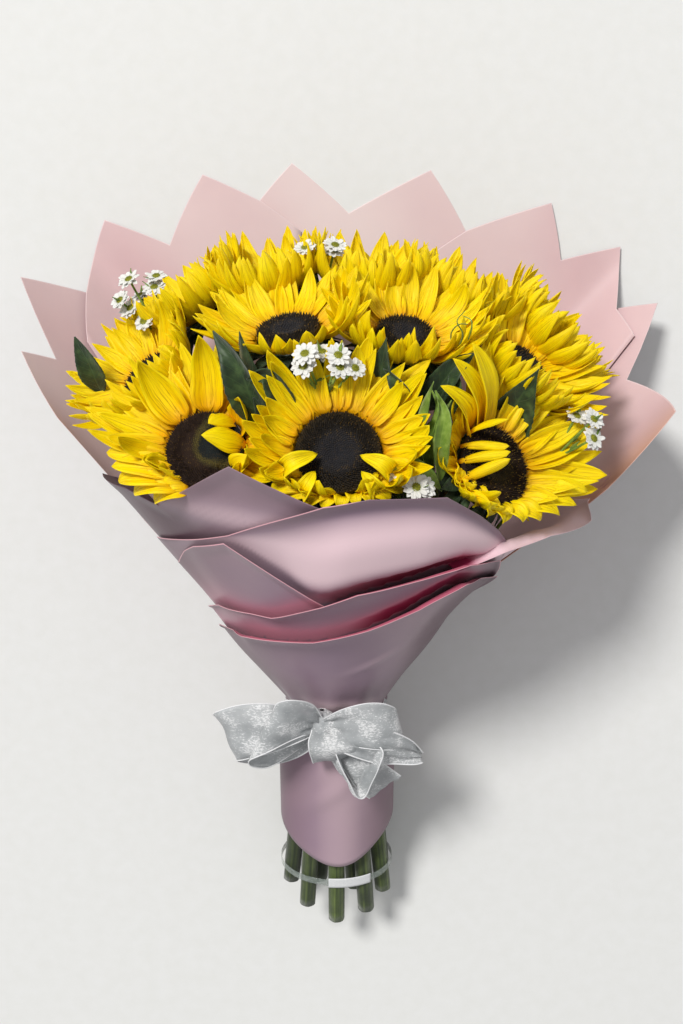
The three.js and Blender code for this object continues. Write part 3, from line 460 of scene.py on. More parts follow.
class Shader:
    """One material and short ways to add its nodes."""

    def __init__(self, name, roughness, **settings):
        self.material = bpy.data.materials.new(name)
        self.material.use_nodes = True
        self.nodes = self.material.node_tree.nodes
        self.links = self.material.node_tree.links
        self.surface = self.nodes["Principled BSDF"]
        self.surface.inputs["Roughness"].default_value = roughness
        for label, value in settings.items():
            self.surface.inputs[label.replace("_", " ")].default_value = value

    def join(self, value, socket):
        if isinstance(value, bpy.types.NodeSocket):
            self.links.new(value, socket)
        else:
            socket.default_value = value

    def add(self, kind, operation=None, **inputs):
        """A node. Its inputs are set by their labels, or by i and their numbers."""
        node = self.nodes.new(kind)
        if operation:
            node.operation = operation
        for label, value in inputs.items():
            self.join(value, node.inputs[int(label[1:]) if label[1:].isdigit() else label])
        return node

    def value(self, name):
        node = self.add("ShaderNodeAttribute")
        node.attribute_name = name
        return node.outputs["Fac"]

    def values(self):
        return [self.value(name) for name in VALUE_NAMES]

    def math(self, operation, a, b=0.0, c=0.0):
        return self.add("ShaderNodeMath", operation, i0=a, i1=b, i2=c).outputs[0]

    def times(self, a, b):
        return self.math("MULTIPLY", a, b)

    def ramp(self, factor, stops, gain=LIGHT_GAIN):
        """Codes of colours, or plain numbers from 0 to 1, at places along factor."""
        node = self.add("ShaderNodeValToRGB", Fac=factor)
        elements = node.color_ramp.elements
        while len(elements) < len(stops):
            elements.new(0.5)
        for element, (place, value) in zip(elements, stops):
            element.position = place
            element.color = linear(value, gain) if isinstance(value, str) else (value, value, value, 1.0)
        return node.outputs["Color"]

    def mix(self, factor, a, b):
        """From a to b, which is another colour or the code of one."""
        node = self.nodes.new("ShaderNodeMix")
        node.data_type = "RGBA"
        for number, value in ((0, factor), (6, a), (7, linear(b) if isinstance(b, str) else b)):
            self.join(value, node.inputs[number])
        return node.outputs[2]

    def place(self, x=1.0, y=1.0, z=1.0):
        """The point in the part's frame, in metres, stretched by x, y and z."""
        at = self.add("ShaderNodeTexCoord").outputs["Object"]
        return self.add("ShaderNodeVectorMath", "MULTIPLY", i0=at, i1=(x, y, z)).outputs[0]

    def noise(self, vector, scale, detail=3.0, roughness=0.5):
        node = self.add("ShaderNodeTexNoise", Vector=vector, Scale=scale, Detail=detail, Roughness=roughness)
        return node.outputs["Fac"]

    def grain(self, scale, detail=3.0):
        return self.noise(self.place(), scale, detail)

    def vector(self, x=0.0, y=0.0, z=0.0):
        return self.add("ShaderNodeCombineXYZ", X=x, Y=y, Z=z).outputs[0]

    def colour(self, socket):
        self.join(socket, self.surface.inputs["Base Color"])

    def rough(self, socket):
        self.join(socket, self.surface.inputs["Roughness"])

    def bump(self, height, distance, strength=1.0):
        node = self.add("ShaderNodeBump", Height=height, Distance=distance, Strength=strength)
        self.join(node.outputs[0], self.surface.inputs["Normal"])


def petal_material():
    shader = Shader("petal_yellow", 0.5, Specular_IOR_Level=0.22, Subsurface_Weight=0.25,
                    Subsurface_Radius=(1.0, 0.8, 0.1), Subsurface_Scale=0.002)
    along, across, tone = shader.values()
    yellows = [(0.0, "e09000"), (0.1, "f0b400"), (0.3, "fdd600"), (0.7, "fbdf00"), (1.0, "f8d800")]
    body = shader.ramp(along, yellows, 1)
    deep = shader.ramp(along, [(0.0, "8a5200"), (0.3, "a87a00"), (1.0, "b89a00")], 1)
    wander = shader.noise(shader.vector(along, across, tone), 3.0, 2.0)
    spread = shader.math("MULTIPLY_ADD", across, 4.5, wander)
    vein_at = shader.vector(spread, shader.times(along, 0.6), shader.times(tone, 9.0))
    vein = shader.noise(vein_at, 3.2, 3.0, 0.6)
    lines = shader.ramp(vein, [(0.32, 1.0), (0.42, 0.35), (0.52, 0.0)])
    striped = shader.mix(shader.times(lines, 0.9), body, deep)
    pale = shader.ramp(shader.math("FRACT", shader.times(tone, 7.31)), [(0.0, 0.0), (1.0, 0.35)])
    shader.colour(shader.mix(pale, striped, linear("f6c600", 1)))
    shader.bump(shader.math("SUBTRACT", vein, lines), 0.0003, 0.5)
    return shader.material


def disc_material(name, stops, speck, arc=None):
    """Florets by their share of the radius, with bright specks. With an arc, the zones lean to the left."""
    shader = Shader(name, 0.85, Specular_IOR_Level=0.25)
    zone, sideways, tone = shader.values()
    if arc:
        zone = shader.math("MULTIPLY_ADD", sideways, -0.32, shader.math("MULTIPLY_ADD", zone, 0.35, 0.33))
    shifted = shader.math("ADD", zone, shader.math("MULTIPLY_ADD", shader.grain(900.0, 2.0), 0.1, -0.05))
    body = shader.ramp(shifted, stops)
    if arc:
        ring = shader.ramp(shifted, [(0.42, 0.0), (0.46, 0.8), (0.49, 0.8), (0.54, 0.0)])
        seeds = shader.ramp(shader.grain(1500.0, 2.0), [(0.4, 0.2), (0.6, 1.0)])
        body = shader.mix(shader.times(seeds, ring), body, arc)
    bright = shader.ramp(tone, [(0.7, 0.0), (0.8, 0.7), (1.0, 1.0)])
    outer = shader.ramp(zone, [(0.35, 0.08), (0.7, 0.5), (1.0, 0.75)])
    shader.colour(shader.mix(shader.times(bright, outer), body, speck))
    shader.bump(shader.grain(2200.0, 2.0), 0.0003, 0.6)
    return shader.material


def green_material(name, base, light, dark, vein_share):
    """Leaves and bracts: blotched, with a pale midrib and side veins."""
    shader = Shader(name, 0.5, Specular_IOR_Level=0.35, Sheen_Weight=0.2)
    along, across, tone = shader.values()
    blotch = shader.grain(130.0, 4.0)
    body = shader.ramp(blotch, [(0.3, dark), (0.52, base), (0.72, light)])
    away = shader.math("ABSOLUTE", across)
    slant = shader.math("MULTIPLY_ADD", away, -0.22, along)
    comb = shader.math("ABSOLUTE", shader.math("SINE", shader.times(slant, 30.0)))
    side = shader.ramp(comb, [(0.0, 1.0), (0.16, 0.0)])
    rib = shader.ramp(away, [(0.0, 1.0), (0.09, 0.0)])
    veins = shader.times(shader.math("MAXIMUM", side, rib), vein_share)
    body = shader.mix(veins, body, light)
    shader.colour(shader.mix(shader.ramp(tone, [(0.0, 0.0), (1.0, 0.4)]), body, dark))
    shader.bump(shader.math("SUBTRACT", shader.times(blotch, 0.5), veins), 0.0006, 0.6)
    return shader.material


def stem_material():
    shader = Shader("stem_green", 0.6, Specular_IOR_Level=0.35, Sheen_Weight=0.25)
    along, across, tone = shader.values()
    ribs = shader.vector(shader.times(across, 26.0), shader.times(along, 10.0), tone)
    fibre = shader.noise(ribs, 1.0, 3.0)
    body = shader.ramp(fibre, [(0.3, "34421c"), (0.5, "4f6129"), (0.7, "758544")])
    worn = shader.ramp(shader.grain(60.0, 4.0), [(0.45, 0.0), (0.68, 0.7)])
    body = shader.mix(worn, body, "2b3719")
    shader.colour(shader.mix(shader.ramp(tone, [(0.0, 0.0), (1.0, 0.8)]), body, "20281b"))
    shader.bump(shader.math("ADD", fibre, shader.grain(900.0)), 0.0006, 0.5)
    return shader.material


def daisy_material():
    shader = Shader("daisy_white", 0.55, Specular_IOR_Level=0.3, Sheen_Weight=0.2)
    along, across = shader.value("along"), shader.value("across")
    lines = shader.noise(shader.vector(shader.times(across, 7.0), along, 0.0), 2.0, 3.0)
    body = shader.ramp(along, [(0.0, "c9cfae"), (0.3, "f0efe8"), (1.0, "fbfaf6")])
    shader.colour(shader.mix(shader.ramp(lines, [(0.3, 0.35), (0.55, 0.0)]), body, "c9c6bd"))
    shader.bump(lines, 0.0003, 0.4)
    return shader.material


def button_material():
    shader = Shader("daisy_centre", 0.7)
    grain = shader.grain(1300.0, 2.0)
    body = shader.ramp(shader.value("along"), [(0.0, "6f8a1e"), (0.55, "a9a51f"), (1.0, "5f6d1c")])
    shader.colour(shader.mix(shader.ramp(grain, [(0.4, 0.5), (0.6, 0.0)]), body, "3f4a16"))
    shader.bump(grain, 0.0005, 0.8)
    return shader.material


def paper_material(name, roughness, bases, tone_colours, edge, edge_share, painted_light="fddde4"):
    """Satin paper: along carries its painted light, a painted highlight above 0 and painted shade below it,
    across its free edge, and tone the two colours laid over it; on the front sheets these paint the light
    that the pockets' lips throw back.
    """
    dark, base, light = bases
    shader = Shader(name, roughness, Specular_IOR_Level=0.25, Sheen_Weight=0.05, Sheen_Roughness=0.4)
    cloud = shader.noise(shader.place(), 7.0, 4.0, 0.55)
    body = shader.ramp(cloud, [(0.3, dark), (0.52, base), (0.72, light)])
    body = shader.mix(shader.ramp(shader.grain(1800.0, 2.0), [(0.35, 0.12), (0.6, 0.0)]), body, dark)
    painted_light_value = shader.value("along")
    # Painted highlight: paler where along is above 0
    body = shader.mix(painted_light_value, body, painted_light)
    # Painted shade: darker, towards 5e3f4c, where along is below 0
    body = shader.mix(shader.times(painted_light_value, -1.0), body, "5e3f4c")
    tone = shader.value("tone")
    # tone lays on its two colours: on the front sheets, painted light thrown back by the pockets' lips, then
    # deeper crimson painted into the shaded gaps under them
    body = shader.mix(shader.ramp(tone, [(0.0, 0.0), (0.55, 0.85), (1.0, 0.9)]), body, tone_colours[0])
    body = shader.mix(shader.ramp(tone, [(0.5, 0.0), (0.95, 1.0)]), body, tone_colours[1])
    near_edge = shader.ramp(shader.value("across"), [(0.3, 0.0), (0.7, edge_share)])
    shader.colour(shader.mix(near_edge, body, edge))
    crease = shader.noise(shader.place(1.0, 0.35, 1.0), 26.0, 5.0, 0.5)
    shader.bump(shader.math("MULTIPLY_ADD", shader.grain(1500.0, 2.0), 0.06, crease), 0.0014, 0.3)
    shader.rough(shader.ramp(cloud, [(0.2, roughness - 0.06), (0.8, roughness + 0.08)]))
    return shader.material


def organza_material():
    """Sheer woven ribbon: grey threads with small glints where the weave catches light."""
    shader = Shader("organza", 0.3, Specular_IOR_Level=0.8)
    along, across = shader.value("along"), shader.value("across")
    warp = shader.math("SINE", shader.times(across, 150.0))
    weft = shader.math("SINE", shader.times(along, 1600.0))
    weave = shader.times(warp, weft)
    glint = shader.noise(shader.place(0.7, 1.5, 1.5), 620.0, 3.0, 0.7)
    patch = shader.grain(55.0)
    strong = shader.times(glint, shader.ramp(patch, [(0.42, 0.72), (0.62, 1.0)]))
    spark = shader.ramp(strong, [(0.44, 0.0), (0.54, 1.0)])
    body = shader.ramp(patch, [(0.3, "babec0"), (0.55, "dcdfe0"), (0.75, "f2f4f4")])
    # Painted glints: the colour turns white where the weave's glints fall
    shader.colour(shader.mix(spark, body, "ffffff"))
    shader.rough(shader.ramp(spark, [(0.0, 0.42), (1.0, 0.16)]))
    selvage = shader.ramp(shader.math("ABSOLUTE", across), [(0.93, 0.0), (0.97, 0.35)])
    sheer = shader.math("ADD", shader.math("MULTIPLY_ADD", spark, 0.3, 0.7), selvage)
    shader.join(sheer, shader.surface.inputs["Alpha"])
    shader.bump(shader.math("MULTIPLY_ADD", glint, 2.0, weave), 0.00008, 0.8)
    return shader.material


def grained_material(name, roughness, scale, detail, stops, depth, strength, **settings):
    """A plain material: one grain gives it its tones and its relief."""
    shader = Shader(name, roughness, **settings)
    grain = shader.grain(scale, detail)
    shader.colour(shader.ramp(grain, stops))
    shader.bump(grain, depth, strength)
    return shader.material


def floor_material():
    shader = Shader("pale_floor", 0.7, Specular_IOR_Level=0.2)
    shader.colour(shader.ramp(shader.grain(90.0, 4.0), [(0.3, "efefec"), (0.7, "f2f2f0")]))
    shader.bump(shader.grain(500.0), 0.0003, 0.15)
    return shader.material


PETAL = petal_material()
DISC = disc_material("disc_dark", [(0, "2b2a2e"), (0.4, "302e30"), (0.62, "2c2722"), (0.85, "2f271c"),
                                   (1, "3d311c")], "8a6a2c")
DISC_OLIVE = disc_material("disc_olive", [(0, "20282b"), (0.42, "262b2b"), (0.56, "3a2a22"), (1, "33251d")],
                           "7c6030", "7d7032")
DISC_BROWN = disc_material("disc_brown", [(0, "22201a"), (0.35, "3a3019"), (0.7, "33241a"), (1, "261a12")],
                           "b8953f")
LEAF = green_material("leaf_dark", "2f4524", "4d6638", "1b2a17", 0.5)
LEAF_BRIGHT = green_material("leaf_bright", "7b9932", "a5be58", "54731f", 0.35)
STEM = stem_material()
PITH = grained_material("stem_pith", 0.8, 700.0, 3.0, [(0.35, "7d8a52"), (0.6, "c3c795")], 0.0004, 0.6)
DAISY = daisy_material()
BUTTON = button_material()
# On the mauve and coral papers the two tone colours paint light thrown back by the pockets' lips and shade
# in the gaps beneath them; a paper's last colour, or the default, is its painted highlight
PAPER_OUTER = paper_material("paper_mauve", 0.4, ("a2889a", "ae949f", "bba1ab"), ("e09aae", "a8325a"),
                             "f4b9c2", 0.8)
PAPER_BACK = paper_material("paper_pink", 0.5, ("debabc", "e8c7c7", "f1d8d5"), ("eab59c", "e0a080"),
                            "f6e2e0", 0.5, "f8eae6")
PAPER_CORAL = paper_material("paper_coral", 0.5, ("c8607a", "d9778e", "e48fa2"), ("e0859a", "9c1c3e"),
                             "f4c4cb", 0.6)
ORGANZA = organza_material()
THREAD = grained_material("organza_thread", 0.35, 1500.0, 2.0, [(0.35, "f2f3f4"), (0.65, "ffffff")],
                          0.0003, 0.6, Specular_IOR_Level=0.7)
TAPE = grained_material("clear_tape", 0.12, 260.0, 2.0, [(0.3, "8f9a92"), (0.7, "bfc8c0")],
                        0.0003, 0.4, Specular_IOR_Level=0.6, Alpha=0.42)
LABEL = grained_material("blank_label", 0.5, 1500.0, 3.0, [(0.3, "dfe1e2"), (0.6, "f6f7f7")], 0.0001, 0.4)


# Flower heads

# How far petals rise on the side of a head that is turned away from the camera, and on the near side
RISES = {"front": (8, 34), "middle": (18, 84), "side": (26, 98), "back": (34, 104), "far": (34, 104)}
FRONT_MIDDLE_RISES = (28, 50)


class Head:
    """One flower's place, the directions it spans, and its stem's place in the bundle."""

    def __init__(self, number, name, at, turn, lift, disc, length, layers):
        self.number, self.name = number, name
        self.at = np.array(at, float)
        self.disc, self.length, self.layers = disc, length, layers
        turn, lift = math.radians(turn), math.radians(lift)
        across = np.array((math.cos(turn), -math.sin(turn), 0.0))
        level = np.array((math.sin(turn), math.cos(turn), 0.0))
        self.facing = level * math.cos(lift) + UP * math.sin(lift)
        self.basis = np.stack((across, np.cross(self.facing, across), self.facing))
        self.toward = unit(self.at - NECK)
        self.shown = name.startswith("front")
        self.rises = FRONT_MIDDLE_RISES if name == "front_middle" else RISES[name.split("_")[0]]
        self.slot, self.cut, self.inner = STEMS[name]

    def world(self, local):
        return self.at + np.asarray(local) @ self.basis


ALL_HEADS = [Head(i, *row) for i, row in enumerate(HEADS)]
HEAD_BY_NAME = {head.name: head for head in ALL_HEADS}


def paper_slope(angle, reach):
    """How steeply the wrap flares: flatter in front, pinched and then opened at the right."""
    front = np.maximum(0, (np.sin(angle) + FRONT_SHIFT) / (1 + FRONT_SHIFT))
    right = np.maximum(0, np.cos(angle))
    opened = np.clip((reach - RIGHT_FROM) / RIGHT_OVER, 0, 1)
    side = -RIGHT_PINCH + (RIGHT_FLARE + RIGHT_PINCH) * opened
    return SIDE_SLOPE - FRONT_EASE * front * front * (3 - 2 * front) + side * right * right


def paper_radius(angle, reach, layer):
    slope = paper_slope(angle, reach) + LAYER_FAN * layer
    return PAPER_NECK + LAYER_STEP * layer + np.maximum(0, reach - FLARE_START) * slope


HEAD_PLACES = np.array([head.at for head in ALL_HEADS])
HEAD_BASES = np.array([head.basis for head in ALL_HEADS])
HEAD_WAYS = np.array([head.toward for head in ALL_HEADS])
HEAD_DISCS = np.array([head.disc for head in ALL_HEADS])

# Room that is kept free round a disc: past its rim, and half its height round a middle
DISC_MARGIN = 3
DISC_MIDDLE = 8
DISC_HALF = 14


def crowded(head, points, overlap, gap=WALL_GAP):
    """Which rows of points lie too far into another head's room, outside the paper or below it."""
    others = np.arange(len(ALL_HEADS)) != head.number
    away = unit(head.toward - HEAD_WAYS[others])
    deep = ((points - NECK) @ away.T).min(axis=(-1, -2)) < -overlap
    apart = points[..., None, :] - HEAD_PLACES[others]
    local = np.einsum("knmi,mji->knmj", apart, HEAD_BASES[others])
    near = np.hypot(local[..., 0], local[..., 1]) < HEAD_DISCS[others] + DISC_MARGIN
    deep |= (near & (np.abs(local[..., 2] - DISC_MIDDLE) < DISC_HALF)).any(axis=(-1, -2))
    return deep | outside(points, gap)


def edge_reach(name, degrees, beyond=None):
    """How far a sheet reaches at each angle, with one value beyond its two sides."""
    corners, tops = zip(*SHEETS[name][1])
    return np.interp(degrees, corners, tops, left=beyond, right=beyond)


# How far the paper reaches at each degree round the bunch
RIM = np.max([edge_reach(name, np.arange(361) + turn, 0) for name in SHEETS for turn in (0, -360, 360)],
             axis=0)

# Between these degrees the paper stands behind the flowers
FRONT_UNTIL = 188
FRONT_FROM = 345

# How much further out petals may lean above the rim than below it, how far above it those behind are
# free, and how low petals may hang
OVER_RIM = 9.0
OVER_FROM = 3
LOWEST_PETAL = 6


def outside(points, gap=WALL_GAP):
    """Which rows of points pass through the paper or lie too low. Behind, they may stand past its rim."""
    from_neck = points - NECK
    side, up = from_neck @ RIGHT, from_neck @ FRONT
    angle, along = np.arctan2(up, side), from_neck @ AXIS
    degrees = np.degrees(angle).astype(int) % 360
    held = (along < RIM[degrees] + OVER_FROM) | (degrees < FRONT_UNTIL) | (degrees > FRONT_FROM)
    wall = paper_radius(angle, along, 0) - gap + OVER_RIM * smooth(0, 9, along - RIM[degrees])
    return (held & (np.hypot(side, up) > wall)).any(axis=-1) | (points[..., 2] < LOWEST_PETAL).any(axis=-1)


PETAL_ROWS = 14
PETAL_COLS = 9
MOST_CURLED = math.radians(172)

# What a petal tries until it finds room: its share of the length, of the rise at its root, more curl,
# and how much more it may rise
PETAL_TRIES = [(1.0, 0.15, 0, 120), (1.0, 0.5, 0, 120), (0.86, 0.5, 0, 120), (0.86, 0.8, 0, 120),
               (0.7, 0.8, 0, 120), (0.55, 0.85, 0, 120)]
FRONT_TRIES = [(1.0, 0.15, 0, 20), (0.85, 0.3, 0, 32), (0.72, 0.5, -12, 46), (0.6, 0.7, -30, 70),
               (0.48, 0.85, -45, 100)]
MOST_RISEN = 118


def petal_spines(length, rises, lean, curl, swing, start):
    """The middle line of a petal in its own plane for each rise, and the way it runs at each point."""
    t = np.linspace(0, 1, PETAL_ROWS)
    share = lean + (1.15 - lean) * t
    angle = np.minimum(rises[:, None] * share + curl * share**2, MOST_CURLED)
    yaw = swing * t
    run = np.stack((np.cos(angle) * np.cos(yaw), np.cos(angle) * np.sin(yaw), np.sin(angle)), axis=-1)
    steps = np.cumsum((run[:, 1:] + run[:, :-1]) / 2, axis=1) * length / (PETAL_ROWS - 1)
    return np.concatenate((np.zeros((len(rises), 1, 3)), steps), axis=1) + start, run


def place_petal(head, plane, length, width, rise, curl, swing, start, overlap):
    """The least rise at which the petal clears its neighbours, with a shorter petal where it has to be."""
    for shrink, lean, more, steeper in FRONT_TRIES if head.shown else PETAL_TRIES:
        rises = np.radians(np.arange(rise, min(rise + steeper, max(MOST_RISEN, rise + 1)), 5))
        spines, runs = petal_spines(length * shrink, rises, lean, curl + math.radians(more), swing, start)
        middle = head.world(spines[:, 3:] @ plane)
        edge = plane[1] @ head.basis * width * 0.4
        clear = ~crowded(head, middle, overlap, PETAL_GAP)
        clear &= ~outside(middle + edge, PETAL_GAP) & ~outside(middle - edge, PETAL_GAP)
        if clear.any():
            pick = int(np.argmax(clear))
            return spines[pick], runs[pick]
    return None


def add_blade(shape, rng, line, side, normal, width, cup, blunt):
    """One petal along a line: pointed, cupped, creased lengthwise and a little ragged."""
    t, u = grid_steps(PETAL_ROWS, PETAL_COLS)
    body = t**0.55 * (1 - t)**(rng.uniform(0.7, 1.0) * blunt)
    half = width / 2 * (0.98 * body / body.max() + 0.42 * (1 - t)**6 + 0.012)
    wave = rng.uniform(0, 2 * math.pi, 4)
    ruffle = 0.12 * half * np.sin(7 * t + wave[0] + 1.3 * np.sign(u)) * u**2
    crease = 0.08 * half * np.cos(2.4 * math.pi * u + 0.7 * np.sin(3 * t + wave[1]))
    fold = cup * half * np.abs(u)**1.5 + crease * np.sin(math.pi * t)**0.5 + ruffle
    ragged = 1 + 0.05 * np.sin(9 * t + wave[2]) * (u > 0) + 0.05 * np.sin(8 * t + wave[3]) * (u < 0)
    grid = beside(line, side, normal, u * half * ragged, fold)
    thin(shape, grid, PETAL_THICK, along=t, across=u, tone=rng.uniform())


def add_petal(shape, head, rng, plane, spine, run, width, swing, twist, cup, blunt=1.0):
    """A petal along a spine in its own plane, twisted towards its tip."""
    t = np.linspace(0, 1, PETAL_ROWS)
    side = np.stack((-np.sin(swing * t), np.cos(swing * t), 0 * t), axis=1)
    side, normal = turned(side, unit(np.cross(run, side)), (twist * t**1.5)[:, None])
    local = plane @ head.basis
    add_blade(shape, rng, head.world(spine @ plane), side @ local, normal @ local, width, cup, blunt)


def plane_at(spin):
    """The plane that a petal rises in: outwards, sideways and up from the disc."""
    return np.array((ray(spin), ray(spin + math.pi / 2), UP))


def apart_from(spin, degrees):
    off = spin - math.radians(degrees)
    return math.degrees(abs(math.atan2(math.sin(off), math.cos(off))))


# For each layer from the outside in: share of the length, overlap with the next heads, height of the roots
LAYER_LENGTHS = (1.04, 1.0, 0.88)
LAYER_OVERLAPS = (19.0, 15.0, 10.0)
LAYER_HEIGHTS = (RING_BOTTOM + 1.2, -3.6, RING_TOP - 0.6)
TOWARD_CAMERA = np.array((0.0, math.cos(VIEW_LIFT), math.sin(VIEW_LIFT)))

# Petals given one by one: spin, rise, lean, curl, length, width, swing, twist, cup and bluntness
OWN_PETALS = {
    "front_left": [(66, 50, 0.3, 20, 56, 22, 4, 8, 0.75, 1), (108, 46, 0.3, 24, 54, 21, -6, -10, 0.7, 1),
                   (-12, 90, 0.75, 50, 36, 19, 2, 10, 0.5, 1), (14, 82, 0.6, 4, 36, 19, 8, 12, 0.6, 1),
                   (30, 86, 0.7, 52, 28, 15, -4, -8, 0.5, 1), (-42, 70, 0.6, 8, 32, 18, 6, 14, 0.5, 1),
                   (-64, 70, 0.7, 8, 30, 17, 0, 10, 0.5, 1)],
    "front_right": [(184, 84, 0.8, 12, 38, 8, -10, 8, 0.6, 0.7),
                    (208, 106, 0.9, 8, 34, 6.6, -6, 6, 0.7, 0.5),
                    (231, 106, 0.9, 8, 35, 6.6, 0, -6, 0.7, 0.5),
                    (256, 106, 0.9, 8, 34, 7, 6, -6, 0.7, 0.5),
                    (292, 80, 0.8, 14, 22, 10, 4, 10, 0.55, 0.9)],
}

# Petals that fill the room towards the paper: spin, and the tip's spin, distance and height, arch, width
AIMED_PETALS = {
    "front_left": [(172, 158, 66, 0, 5, 15), (-172, 166, 63, -2, 6, 16), (-160, 174, 61, -7, 7, 17),
                   (-146, -175, 54, -9, 8, 16), (-134, -161, 46, -12, 7, 15), (-64, -40, 38, 12, 6, 17),
                   (-78, -54, 43, -5, 6, 15)],
    "front_middle": [(-146, -166, 47, -6, 5, 14), (-134, -154, 46, -8, 6, 14), (-122, -140, 42, -6, 6, 12),
                     (-111, -122, 38, -4, 5, 11), (-98, -106, 36, -1, 4, 10), (-84, -88, 35, 0, 4, 10),
                     (-70, -72, 36, 1, 4, 10), (-58, -54, 39, -1, 5, 11), (-48, -42, 43, -4, 6, 13),
                     (-36, -28, 46, -7, 5, 13), (-156, -162, 13, 10, 20, 12), (-128, -134, 20, 8, 16, 11),
                     (-50, -46, 20, 8, 16, 11), (-27, -20, 14, 10, 20, 12)],
    "front_right": [(-120, -104, 31, -8, 6, 11), (-102, -86, 31, -7, 7, 11), (-84, -69, 32, -4, 7, 12),
                    (-62, -51, 34, -1, 7, 13), (-42, -34, 37, 2, 7, 13), (-24, -15, 39, 7, 7, 14),
                    (-10, 2, 44, 10, 7, 14), (6, 16, 51, 14, 7, 14), (18, 29, 58, 18, 6, 14),
                    (30, 40, 62, 22, 6, 14), (156, 182, 74, 22, 8, 18), (146, 172, 76, 30, 8, 17),
                    (180, 194, 66, 14, 8, 16)],
}


def add_aimed(shape, head, rng, row):
    """A petal that arches from the disc's rim to a tip beside the head, or back over the disc."""
    spin, tip_spin, distance, height, arch, width = row
    out = ray(math.radians(spin))
    root = out * (head.disc + 1) - 3 * UP
    tip = ray(math.radians(tip_spin)) * distance + height * UP
    rise = arch * UP
    path = [root, root * 0.6 + tip * 0.4 + rise, root * 0.25 + tip * 0.75 + rise * 0.7, tip]
    if distance < head.disc:
        path = [root, root + out * 8 + rise / 2, root + out * 3 + rise, tip]
    line = even(spline(head.world(np.array(path)), 60), PETAL_ROWS)
    run = unit(np.gradient(line, axis=0))
    side = unit(np.cross(head.facing, run))
    add_blade(shape, rng, line, side, np.cross(run, side), width, rng.uniform(0.3, 0.6), 1.0)


# Where some heads' petals differ: middle and half width of the arc, share of the length, least rise, layers
ARCS = {
    "front_left": [(4, 50, 0.6, 40, 1), (215, 45, 0.92, 4, 3)],
    "front_middle": [(-90, 58, 0.6, 56, 3), (180, 32, 0.75, 52, 3), (0, 32, 0.75, 52, 3)],
    "front_right": [(212, 52, 0.5, 42, 1), (292, 36, 0.5, 50, 3)],
    "middle_left": [(-90, 52, 0.55, 34, 1)],
}


def petals_of(head):
    """Petals in layers from the outside in. Each bends up until it clears the next heads."""
    shape = Shape()
    rng = np.random.default_rng(PETAL_SEED + head.number)
    low, high = head.rises
    for layer, count in enumerate(head.layers):
        for i in range(count):
            spin = 2 * math.pi * (i + 0.5 * layer + rng.uniform(-0.25, 0.25)) / count
            plane = plane_at(spin)
            facing_us = plane[0] @ head.basis @ TOWARD_CAMERA
            rise = low + (high - low) * (0.5 + 0.5 * facing_us) + 11 * layer + rng.uniform(-7, 7)
            length = head.length * rng.uniform(0.9, 1.12) * LAYER_LENGTHS[layer]
            width = head.length * rng.uniform(0.23, 0.31)
            curl = math.radians(rng.uniform(-14, 22))
            swing, twist, cup = rng.uniform(-0.3, 0.3), rng.uniform(-0.7, 0.7), rng.uniform(0.25, 0.7)
            kept = len(head.layers)
            for middle, spread, share, least, layers in ARCS.get(head.name, ()):
                if apart_from(spin, middle) < spread:
                    length *= share
                    rise = max(rise, least + rng.uniform(0, 16))
                    kept = layers
            if layer >= kept:
                continue
            start = np.array((head.disc + 1.0 + 0.4 * layer, 0.0, LAYER_HEIGHTS[layer]))
            overlap = LAYER_OVERLAPS[layer]
            found = place_petal(head, plane, length, width, max(rise, 2), curl, swing, start, overlap)
            if found:
                add_petal(shape, head, rng, plane, *found, width, swing, twist, cup)
    for spin, rise, lean, curl, length, width, swing, twist, cup, blunt in OWN_PETALS.get(head.name, ()):
        plane = plane_at(math.radians(spin))
        start = np.array((head.disc + 1.4, 0.0, LAYER_HEIGHTS[2]))
        swing, twist = math.radians(swing), math.radians(twist)
        spines, runs = petal_spines(length, np.radians([rise]), lean, math.radians(curl), swing, start)
        add_petal(shape, head, rng, plane, spines[0], runs[0], width, swing, twist, cup, blunt)
    for row in AIMED_PETALS.get(head.name, ()):
        add_aimed(shape, head, rng, row)
    return shape


DISC_SKINS = {"front_left": DISC_OLIVE, "front_right": DISC_BROWN}
DISC_SIDES = 40
FLORETS_SHOWN = 1300
FLORETS_BEHIND = 520
FLORET_SIDES = 5


def dome_height(share):
    return 2.4 + 1.6 * np.sin(math.pi * share) - 2.2 * bell(share, 0, 0.3)


